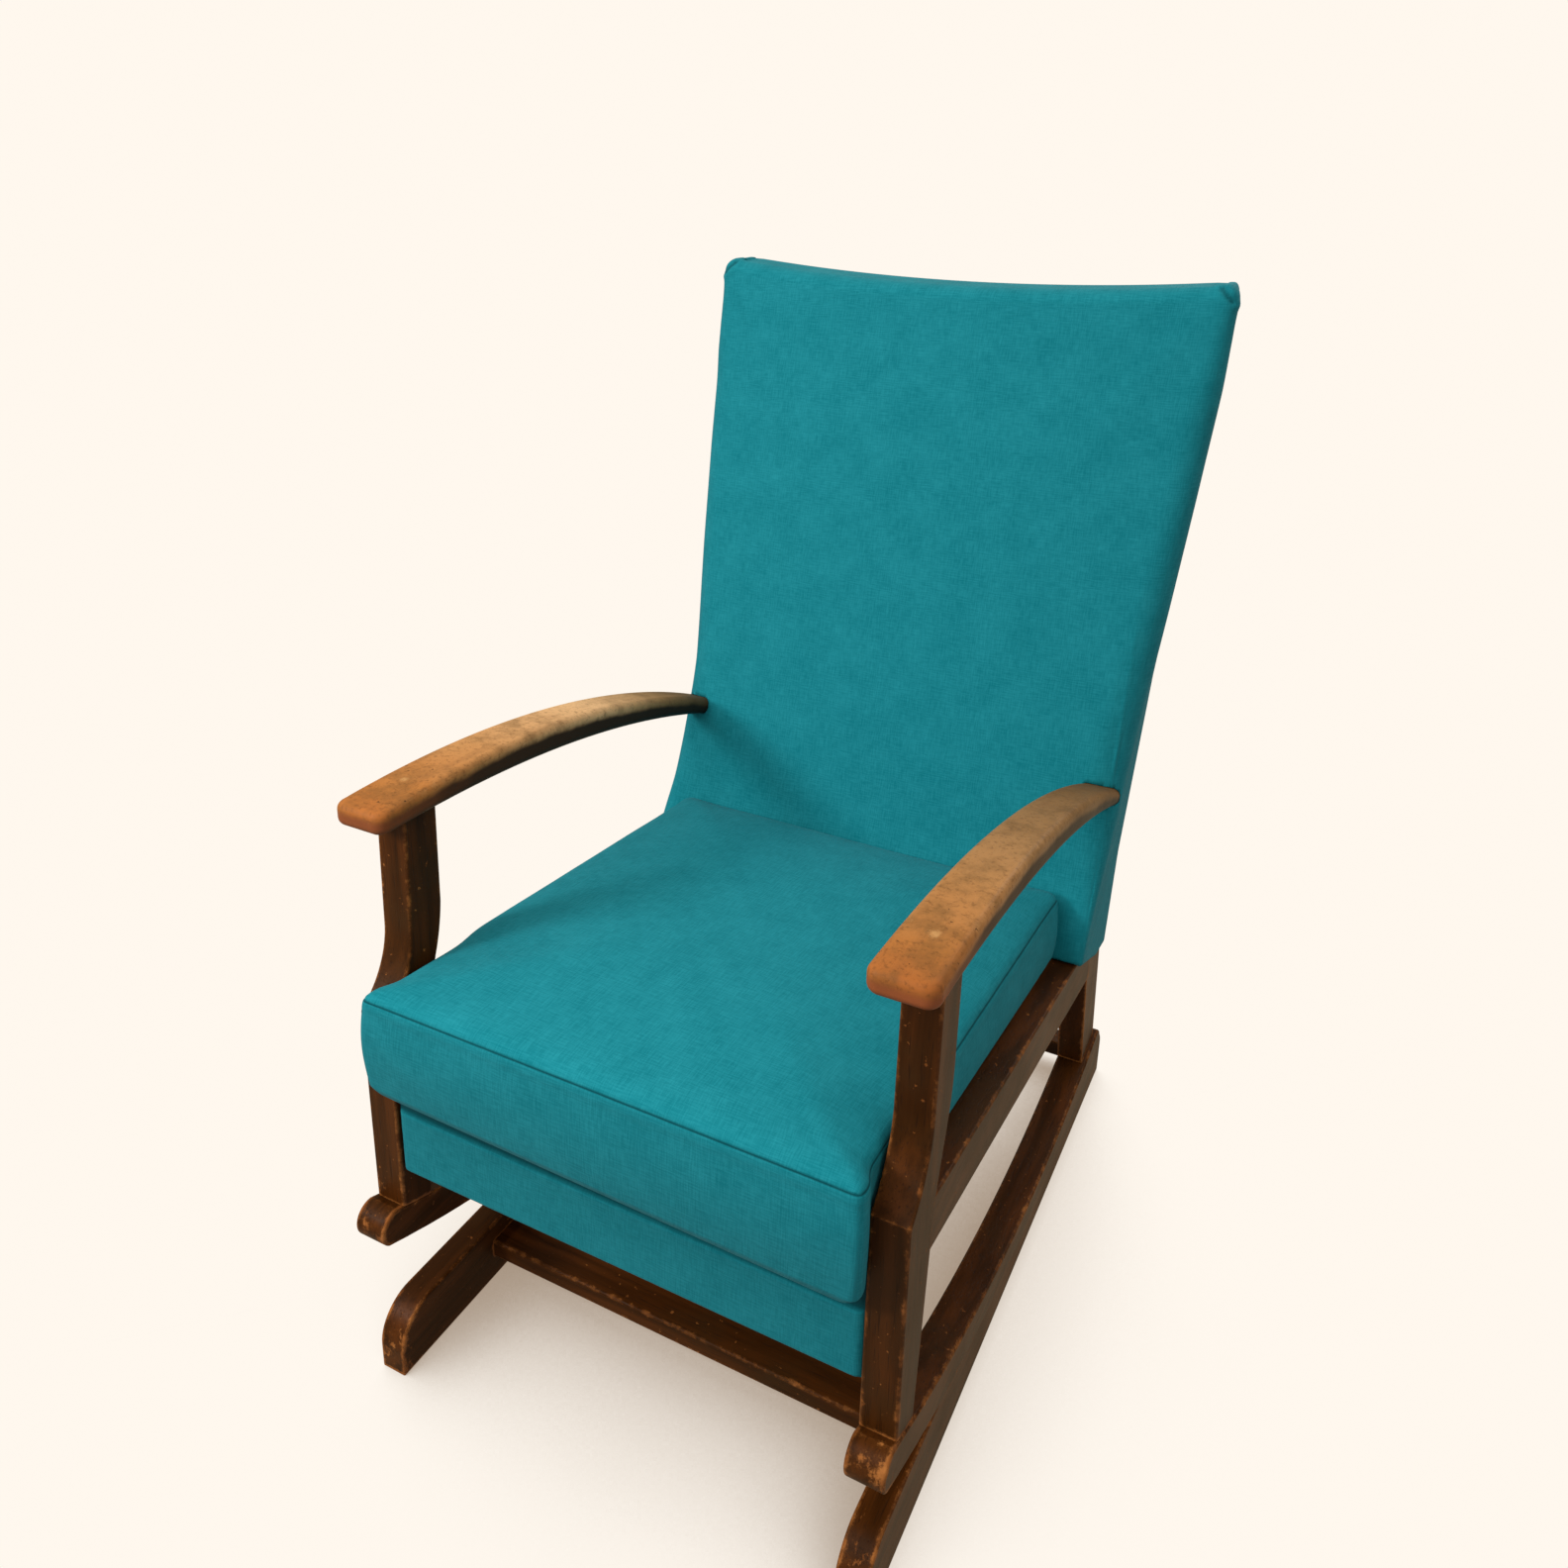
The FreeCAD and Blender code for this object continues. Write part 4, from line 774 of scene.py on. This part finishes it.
def on_seat(along, up):
    """World Y and Z of a place along the sloping seat and above it."""
    y = behind(CUSHION_START[0]) + along * math.cos(SEAT_SLOPE) + up * math.sin(SEAT_SLOPE)
    return y, CUSHION_START[1] - along * math.sin(SEAT_SLOPE) + up * math.cos(SEAT_SLOPE)


def rail_top_z(y):
    return RAIL_TOP - RAIL_FALL * (y - FRONT_Y)


def over_rails(y, z):
    """1 behind the front posts and above the side rails, where the cushion may swell sideways."""
    return smooth_step(y, *map(behind, BEHIND_POSTS)) * smooth_step(z - rail_top_z(y), *OVER_RAIL)


def side_room(y, z):
    """Half the width that is free for the cushion between posts and rails, and over the rails."""
    ahead = 1.0 - smooth_step(y, *map(behind, AHEAD_OF_POSTS))
    return SEAT_ROOM + (NOSE_WIDER + NOSE_SPARE) * ahead + (SIDE_WIDER + SIDE_BULGE) * over_rails(y, z)


def back_face_y(z):
    """Where the padded back's face stands: upright behind the cushion's foot, then leaning back."""
    lean = behind(BACK_FACE + (z - BACK_FACE_Z) * BACK_LEAN)
    return lean - BACK_FOOT * (1.0 - smooth_step(z, *BACK_FOOT_Z))


def bell(away, width, middle=0.0):
    """1 at the middle, falling off softly on both sides."""
    return np.exp(-(((away - middle) / width) ** 2))


def sew_seam(piece, depth, width, lip):
    """Sink a seam where the mark 'seam' is 0, with a low lip on both sides, and mark its groove for painted
    shade.
    """
    away = read_marks(piece, "seam")
    push_along_normals(piece, lip * bell(away, LIP_WIDTH, LIP_PLACE) - depth * bell(away, width))
    # Painted shade along the seam's groove.
    mark_points(piece, "shaded_crease", bell(away, 0.75 * width))


def cushion_shape(piece, cube):
    half_y = 0.5 * CUSHION_LENGTH
    across, along = near_edges(cube[:, 0]), near_edges(cube[:, 1])
    x, y, walked = rounded_outline(across, along, CUSHION_HALF, half_y, *CUSHION_CORNERS)
    inset = inset_from_rim(x, y, CUSHION_HALF, half_y, np.where(y < 0.0, *CUSHION_CORNERS))
    is_top, is_bottom = cube[:, 2] > 0.999, cube[:, 2] < -0.999
    rise = 0.5 * (near_edges(cube[:, 2]) + 1.0)
    up = CUSHION_FOOT + (CUSHION_BORDER - CUSHION_FOOT) * rise
    mark_points(piece, "seam", np.where(is_top, inset, np.where(is_bottom, 1.0, CUSHION_BORDER - up)))
    map_cloth(piece, cube, (walked, up), (walked, up), (x, y))
    roll = CUSHION_ROLL * (1.0 - np.exp(-inset / CUSHION_ROLL_REACH))
    crown = CUSHION_CROWN * (1.0 - (1.0 - np.minimum(inset / CUSHION_CROWN_REACH, 1.0)) ** 2)
    up = np.where(is_top, CUSHION_BORDER + roll + crown, up)
    up = np.where(is_bottom, round_over(inset, CUSHION_FOOT), up)
    length = y + half_y
    nose = 1.0 - smooth_step(length, *NOSE_REACH)
    narrower = round_over(np.maximum(up, 0.0), NOSE_ROUND) * nose
    up = up - NOSE_DROP * nose * (1.0 + NOSE_TILT * x / CUSHION_HALF) * (1.0 - rise) ** 1.5
    length = length * (1.0 + np.maximum(up, 0.0) / CUSHION_BORDER * CUSHION_REAR_LEAN / CUSHION_LENGTH)
    upright = up * math.tan(SEAT_SLOPE) * (1.0 - smooth_step(length, 0.0, UPRIGHT_REACH))
    bulge = np.sin(math.pi * rise)
    y, z = on_seat(length - upright - NOSE_BULGE * bulge * nose, up)
    wider = over_rails(y, z) * (SIDE_WIDER + SIDE_BULGE * bulge)
    wider = wider + NOSE_WIDER * nose * (0.7 + 0.3 * bulge) - narrower
    write_points(piece, x * (1.0 + wider / CUSHION_HALF), y, z)
    return is_bottom & (inset > 0.5 * CUSHION_FOOT)


def make_cushion():
    piece, cube = cloth_block("seat_cushion_cover", cuts=55)
    held = cushion_shape(piece, cube)
    swell(piece, held, pressure=4.0, most=0.005)
    refine(piece)
    sew_seam(piece, depth=0.0009, width=0.0011, lip=0.0004)
    x, y, z = read_points(piece).T
    room = side_room(y, z)
    seat_z = on_seat(y - behind(CUSHION_START[0]), 0.0)[1]
    seat_z = np.where(y > behind(-0.001), seat_z, seat_z - 0.03)
    y = np.minimum(y, back_face_y(z) - BACK_GAP)
    write_points(piece, np.clip(x, -room, room), y, np.maximum(z, seat_z))
    finish_soft(piece, teal_cloth, "seat_cushion")
    return piece


cushion = make_cushion()
print("cushion:", len(cushion.data.polygons), "faces")

# %% [markdown]
# ### Padded back
# One cover is stretched over padding that wraps round the back posts: nearly upright at the bottom,
# flaring above the arms, with a low dip along its top. Its front corners are tight at the foot, broad
# and soft at mid height and tighter again at the top. Inside it is hollow, because the back frame
# stands there.

# %% Padded back
PAD_HALVES = (
    (0.285, 0.2795), (0.400, 0.2815), (0.515, 0.2875), (0.600, 0.2965),
    (0.700, 0.3085), (0.820, 0.3200), (0.940, 0.3285), (1.060, 0.3295),
)
PAD_TAPERS = ((0.285, 0.0), (0.50, 0.004), (0.60, 0.010), (0.70, 0.0155), (0.82, 0.0185), (1.06, 0.016))
PAD_CORNERS = ((0.30, 0.008), (0.36, 0.012), (0.45, 0.030), (0.55, 0.042), (0.90, 0.040), (1.05, 0.022))
PAD_CROWNS = ((0.34, 0.0), (0.45, 0.008), (0.55, 0.014))
PAD_BACK_CORNER, PAD_BOTTOM, PAD_STILL_Z = 0.004, 0.280, 0.45
PAD_TOP, PAD_DIP_RADIUS = 1.0385, 3.0
TOP_ROUND, TOP_BACK_ROUND, TOP_CORNER, BOTTOM_ROUND = 0.015, 0.005, 0.024, 0.004
TOP_ROUND_REACH = 0.04
FLAP_PLACES, FLAP_HEIGHTS = np.array((0.513, 0.600, 0.649)), (0.3245, 0.2880, 0.2810)
PLEAT_START, PLEAT_END = np.array((0.3035, 1.0490)), np.array((0.3165, 1.0360))
PLEAT_WIDTH, PLEAT_DEPTH, PLEAT_LIP, PLEAT_SHADE = 0.0022, 0.0016, 0.0012, 0.8
POST_KINK_Z, RAIL_OUTER = 0.305, 0.2745
POST_FRONT, POST_FRONT_LEAN, POST_BACK, POST_BACK_LEAN = 0.587, 0.25, 0.649, 0.2222
POST_COVER, ARM_GAP = 0.0025, 0.0005
HOLLOW_Z, HOLLOW_HALF = (0.272, POST_KINK_Z, 1.0304), (0.2729, 0.2729, 0.3004)


def by_height(z, table):
    return np.interp(z, *np.array(table).T)


def pad_half(z):
    return by_height(z, PAD_HALVES)


def pad_rear_half(z):
    return pad_half(z) - by_height(z, PAD_TAPERS)


def pad_edge_y(z):
    """Where the face meets its rounded corners; the face's middle stands forward of it."""
    return back_face_y(z) + by_height(z, PAD_CROWNS)


def post_front_y(z):
    return behind(POST_FRONT + (z - POST_KINK_Z) * POST_FRONT_LEAN)


def post_back_y(z):
    return behind(POST_BACK + (z - POST_KINK_Z) * POST_BACK_LEAN)


def pad_top_z(x):
    """The dipped top edge, with rounded corners."""
    from_end = np.maximum(pad_half(PAD_TOP) - np.abs(x), 0.0)
    return PAD_TOP + x * x / (2.0 * PAD_DIP_RADIUS) - round_over(from_end, TOP_CORNER)


def pad_bottom_z(x, y):
    """The cover ends on the side rail, but outside the rail a flap runs lower towards the post."""
    on_rail = rail_top_z(y) + 0.0015
    flap = np.interp(y, behind(FLAP_PLACES), FLAP_HEIGHTS)
    return on_rail + (flap - on_rail) * smooth_step(np.abs(x), RAIL_OUTER, RAIL_OUTER + 0.002)


def pad_shape(cube):
    across, along = near_edges(cube[:, 0]), near_edges(cube[:, 1])
    rise = 0.5 * (near_edges(cube[:, 2]) + 1.0)
    z = PAD_BOTTOM + (PAD_TOP - PAD_BOTTOM) * rise
    for _ in range(3):
        half_y = 0.5 * (post_back_y(z) - pad_edge_y(z))
        middle = 0.5 * (post_back_y(z) + pad_edge_y(z))
        corners = by_height(z, PAD_CORNERS), PAD_BACK_CORNER
        x, y, walked = rounded_outline(across, along, pad_half(z), half_y, *corners)
        inset = inset_from_rim(x, y, pad_half(z), half_y, np.where(y < 0.0, *corners))
        x = x * (1.0 - (0.5 + 0.5 * y / half_y) * (1.0 - pad_rear_half(z) / pad_half(z)))
        forward = np.clip(-y / half_y, 0.0, 1.0)
        arched = 1.0 - np.minimum(np.abs(x) / pad_half(z), 1.0) ** 2
        y = y + middle - by_height(z, PAD_CROWNS) * arched * forward
        off_rear = smooth_step(half_y - (y - middle), 0.0, TOP_ROUND_REACH)
        top_round = TOP_BACK_ROUND + (TOP_ROUND - TOP_BACK_ROUND) * off_rear
        low = pad_bottom_z(x, y) + BOTTOM_ROUND
        rim = pad_top_z(x) - top_round
        z = low + (rim - low) * rise
        z = np.where(cube[:, 2] > 0.999, pad_top_z(x) - round_over(inset, top_round), z)
        z = np.where(cube[:, 2] < -0.999, low - BOTTOM_ROUND + round_over(inset, BOTTOM_ROUND), z)
    return x, y, z, walked


def pad_hollow():
    """A block that fills the room of the back frame, open behind and below."""
    piece, cube = cloth_block("hollow", cuts=1)
    level = np.round(cube[:, 2]).astype(int) + 1
    z, half = np.array(HOLLOW_Z)[level], np.array(HOLLOW_HALF)[level]
    front, back = post_front_y(z) - 0.0004, post_back_y(z) + 0.06
    write_points(piece, cube[:, 0] * half, front + 0.5 * (cube[:, 1] + 1.0) * (back - front), z)
    return piece


def grown_copy(node, grow):
    """Closed copy of a wooden node that is a little larger all round."""
    piece = bpy.data.objects.new(f"{node}_room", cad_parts[node].data.copy())
    scene.collection.objects.link(piece)
    piece.matrix_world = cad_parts[node].matrix_world
    pick(piece)
    bpy.ops.object.mode_set(mode="EDIT")
    bpy.ops.mesh.select_all(action="SELECT")
    bpy.ops.mesh.remove_doubles(threshold=1e-5)
    bpy.ops.mesh.normals_make_consistent(inside=False)
    bpy.ops.transform.shrink_fatten(value=grow)
    bpy.ops.object.mode_set(mode="OBJECT")
    return piece


def cut_away(piece, tool):
    apply_modifier(piece, "BOOLEAN", operation="DIFFERENCE", solver="EXACT", object=tool)
    bpy.data.objects.remove(tool)


def cover_posts(piece):
    """Keep the cover's sides outside the back posts."""
    x, y, z = read_points(piece).T
    least = np.interp(z, HOLLOW_Z, HOLLOW_HALF) + POST_COVER
    beside = (y > post_front_y(z) - 0.004) & (np.abs(x) > least - 0.012)
    write_points(piece, np.where(beside, np.sign(x) * np.maximum(np.abs(x), least), x), y, z)


def fold_corners(piece):
    """A short pleat in the cover round each top corner, where the spare cloth is tucked under; its groove
    gets painted shade.
    """
    x, y, z = read_points(piece).T
    place, way = np.stack((np.abs(x), z), axis=1) - PLEAT_START, PLEAT_END - PLEAT_START
    share = np.clip(place @ way / (way @ way), 0.0, 1.0)
    away = np.linalg.norm(place - share[:, None] * way, axis=1)
    away = np.where(y < pad_edge_y(z) + 0.03, away, 1.0)
    shaded_crease = bell(away, PLEAT_WIDTH)
    push_along_normals(piece, PLEAT_LIP * bell(away, LIP_WIDTH, LIP_PLACE) - PLEAT_DEPTH * shaded_crease)
    # Painted shade in the pleat's groove.
    mark_points(piece, "shaded_crease", PLEAT_SHADE * shaded_crease)


def make_pad():
    piece, cube = cloth_block("back_padding_cover", cuts=63)
    x, y, z, walked = pad_shape(cube)
    map_cloth(piece, cube, (walked, z), (walked, z), (x, y))
    write_points(piece, x, y, z)
    swell(piece, (cube[:, 1] > 0.97) | (z < PAD_STILL_Z), pressure=4.0, most=0.004)
    refine(piece)
    cover_posts(piece)
    fold_corners(piece)
    cut_away(piece, pad_hollow())
    for side in ("left", "right"):
        cut_away(piece, grown_copy(f"arm_{side}", ARM_GAP))
    finish_soft(piece, teal_cloth, "back_pad")
    return piece


pad = make_pad()
print("pad:", len(pad.data.polygons), "faces")

# %% [markdown]
# ### Apron and outside back
# Both are single layers of cover over thin wadding, made from a flat block with a rounded rim. The
# apron's padded panel ends in a lip under the cushion; above it the cloth lies flat on the front rail,
# darkened with painted shade.
# The outside back is tacked behind the frame.

# %% Apron and outside back
APRON_LOW, APRON_LIP, APRON_TOP, APRON_HALF = 0.2345, 0.3050, 0.3408, 0.2408
APRON_BEHIND, APRON_THICK, APRON_ROUND, APRON_PANEL = 0.0079, 0.0068, 0.004, 0.8
BACK_COVER_LOW, BACK_COVER_INSET = 0.3055, 0.0032
BACK_COVER_THICK, BACK_COVER_ROUND, BACK_COVER_GAP = 0.0030, 0.0024, 0.0002


def make_apron():
    """A padded panel with a rounded rim; above it the cloth lies flat on the rail, darkened by painted
    shade.
    """
    piece, cube = cloth_block("front_apron_cover", cuts=39)
    x, rise = APRON_HALF * near_edges(cube[:, 0]), 0.5 * (cube[:, 2] + 1.0)
    panel = near_edges(np.minimum(rise / APRON_PANEL, 1.0) * 2.0 - 1.0)
    above = np.maximum(rise - APRON_PANEL, 0.0) / (1.0 - APRON_PANEL)
    half_z = 0.5 * (APRON_LIP - APRON_LOW)
    up = half_z * panel + (APRON_TOP - APRON_LIP) * above
    inset = inset_from_rim(x, up, APRON_HALF, half_z, APRON_ROUND)
    thick = APRON_THICK - round_over(inset, APRON_ROUND)
    y = behind(APRON_BEHIND) - thick * 0.5 * (1.0 - near_edges(cube[:, 1]))
    map_cloth(piece, cube, (y, up), (x, up), (x, y))
    write_points(piece, x, y, APRON_LOW + half_z + up)
    refine(piece)
    z = read_points(piece)[:, 2]
    # Painted shade: the cloth above the lip, under the cushion's overhang, is darkened.
    mark_points(piece, "shaded_crease", smooth_step(z, APRON_LIP - 0.003, APRON_LIP + 0.001))
    finish_soft(piece, teal_cloth, "front_apron")
    return piece


def make_outside_back():
    piece, cube = cloth_block("outside_back_cover", cuts=39)
    low, inward = BACK_COVER_LOW, BACK_COVER_INSET
    across, rise = near_edges(cube[:, 0]), 0.5 * (near_edges(cube[:, 2]) + 1.0)
    z = low + (PAD_TOP - low) * rise
    for _ in range(3):
        x = across * (pad_rear_half(z) - inward)
        z = low + (pad_top_z(x) - inward - low) * rise
    beside, under = pad_rear_half(z) - inward - np.abs(x), pad_top_z(x) - inward - z
    edge = np.minimum(np.minimum(beside, under), z - low)
    thick = BACK_COVER_THICK - round_over(edge, BACK_COVER_ROUND) - 0.0006 * bell(edge, 0.003, 0.009)
    y = post_back_y(z) + BACK_COVER_GAP + thick * 0.5 * (1.0 + near_edges(cube[:, 1]))
    map_cloth(piece, cube, (y, z), (x, z), (x, y))
    write_points(piece, x, y, z)
    refine(piece)
    finish_soft(piece, teal_cloth, "back_cover")
    return piece


apron, outside_back = make_apron(), make_outside_back()
print("apron and outside back:", len(apron.data.polygons) + len(outside_back.data.polygons), "faces")

# %% [markdown]
# ### Webbing and deck cloth
# Jute straps carry the seat and the back, and a cotton cloth over the seat straps keeps the cushion
# off them. From below the chair the straps are what one sees.

# %% Webbing and deck cloth
jute = woven("jute_webbing", (0.19, 0.115, 0.055), (0.42, 0.29, 0.15), 0.0028, 0.08)
cotton = woven("deck_cotton", (0.30, 0.25, 0.18), (0.52, 0.46, 0.36), 0.0009, 0.08)
SEAT_STRAPS, SEAT_STRAP_STEP = 5, 0.092
BACK_STRAPS, BACK_STRAP_STEP = 4, 0.118
STRAP_WIDTH, STRAP_THICK, STRIP_CORNER = 0.050, 0.0024, 0.002
SEAT_STRAP_HALF, SEAT_STRAP_MIDDLE = 0.3085, 0.317
BACK_STRAP_HALF, BACK_STRAP_MIDDLE, BACK_STRAP_SUNK = 0.3412, 0.6865, 0.0028
DECK_END, DECK_END_Z = 0.626, 0.2862
DECK_HALF, DECK_HALF_LENGTH, DECK_MIDDLE, DECK_THICK, DECK_LIFT = 0.2378, 0.2966, 0.305, 0.0012, 0.0027


def deck_z(y):
    """Underside of the seat straps."""
    return DECK_END_Z + (behind(DECK_END) - y) * SEAT_FALL


def flat_strip(name, half_x, half_length, thick, cuts):
    """A strip across X and along Y: the piece, its two outline columns, its height over its underside."""
    piece, cube = cloth_block(name, cuts)
    sizes = half_x, half_length, STRIP_CORNER
    x, length, _ = rounded_outline(cube[:, 0], cube[:, 1], *sizes, STRIP_CORNER)
    inset = inset_from_rim(x, length, *sizes)
    height = 0.5 * thick + cube[:, 2] * (0.5 * thick - 0.6 * round_over(inset, 0.5 * thick))
    map_cloth(piece, cube, (x, length), (x, length), (x, length))
    return piece, x, length, height


def flat_strap(name, half_length):
    return flat_strip(name, 0.5 * STRAP_WIDTH, half_length, STRAP_THICK, cuts=15)


def make_seat_strap(number):
    piece, x, length, height = flat_strap(f"seat_strap_{number}", SEAT_STRAP_HALF)
    y = behind(SEAT_STRAP_MIDDLE) + length
    x = x + (number - 0.5 * (SEAT_STRAPS + 1)) * SEAT_STRAP_STEP
    write_points(piece, x, y, deck_z(y) + height)
    finish_soft(piece, jute, "seat_webbing")


def make_back_strap(number):
    piece, x, length, height = flat_strap(f"back_strap_{number}", BACK_STRAP_HALF)
    z = BACK_STRAP_MIDDLE + length
    x = x + (number - 0.5 * (BACK_STRAPS + 1)) * BACK_STRAP_STEP
    write_points(piece, x, post_front_y(z) + BACK_STRAP_SUNK - height, z)
    finish_soft(piece, jute, "back_webbing")


def make_deck_cloth():
    half_x, half_length = DECK_HALF, DECK_HALF_LENGTH
    piece, x, length, height = flat_strip("deck_cloth_sheet", half_x, half_length, DECK_THICK, cuts=23)
    y = behind(DECK_MIDDLE) + length
    write_points(piece, x, y, deck_z(y) + DECK_LIFT + height)
    finish_soft(piece, cotton, "seat_deck_cloth")


for number in range(SEAT_STRAPS):
    make_seat_strap(number + 1)
for number in range(BACK_STRAPS):
    make_back_strap(number + 1)
make_deck_cloth()
print("straps:", SEAT_STRAPS + BACK_STRAPS)

# %% [markdown]
# ### Coil springs
# Two springs at the rear tie the chair to its base. A ring of wire is swept up by the Screw modifier,
# then its climb is changed so that the first and last two turns lie closed round the studs.

# %% Coil springs
COIL_RADIUS, WIRE_RADIUS, COIL_TURNS, CLOSED_TURNS = 0.011, 0.002, 18, 2
COIL_STEPS, WIRE_POINTS = 24, 10
SPRING_FOOT, SPRING_HEAD, WIRE_OFF_SEAT, CLOSED_PITCH = 0.052, 0.236, 0.0021, 0.0048
SPRING_X, SPRING_BEHIND, SMOOTH_ANGLE = 0.110, 0.757, 50.0


def make_spring(name, x, y):
    deselect()
    upright = (math.pi / 2, 0.0, 0.0)
    bpy.ops.mesh.primitive_circle_add(vertices=WIRE_POINTS, radius=WIRE_RADIUS, rotation=upright)
    piece = bpy.context.object
    piece.name = f"{name}_wire"
    bpy.ops.object.transform_apply(location=False, rotation=True, scale=False)
    piece.data.transform(Matrix.Translation((COIL_RADIUS, 0.0, 0.0)))
    apply_modifier(
        piece, "SCREW", axis="Z", angle=2.0 * math.pi * COIL_TURNS, screw_offset=1.0, iterations=1,
        steps=COIL_TURNS * COIL_STEPS, render_steps=COIL_TURNS * COIL_STEPS, use_merge_vertices=False)
    wire_x, wire_y, wire_z = read_points(piece).T
    turn = np.repeat(np.arange(COIL_TURNS * COIL_STEPS + 1), WIRE_POINTS) / COIL_STEPS
    low, high = SPRING_FOOT + WIRE_OFF_SEAT, SPRING_HEAD - WIRE_OFF_SEAT
    closed = CLOSED_TURNS * CLOSED_PITCH
    marks = (0.0, CLOSED_TURNS, COIL_TURNS - CLOSED_TURNS, COIL_TURNS)
    climb = np.interp(turn, marks, (low, low + closed, high - closed, high))
    write_points(piece, wire_x + x, wire_y + y, wire_z - turn / COIL_TURNS + climb)
    pick(piece)
    bpy.ops.object.mode_set(mode="EDIT")
    bpy.ops.mesh.select_all(action="DESELECT")
    bpy.ops.mesh.select_non_manifold()
    bpy.ops.mesh.edge_face_add()
    bpy.ops.mesh.select_all(action="SELECT")
    bpy.ops.mesh.normals_make_consistent(inside=False)
    bpy.ops.object.mode_set(mode="OBJECT")
    bpy.ops.object.shade_smooth_by_angle(angle=math.radians(SMOOTH_ANGLE))
    piece.data.materials.append(spring_wire)
    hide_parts(name)
    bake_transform(piece)


make_spring("spring_left", -SPRING_X, behind(SPRING_BEHIND))
make_spring("spring_right", SPRING_X, behind(SPRING_BEHIND))
print("springs: 2")
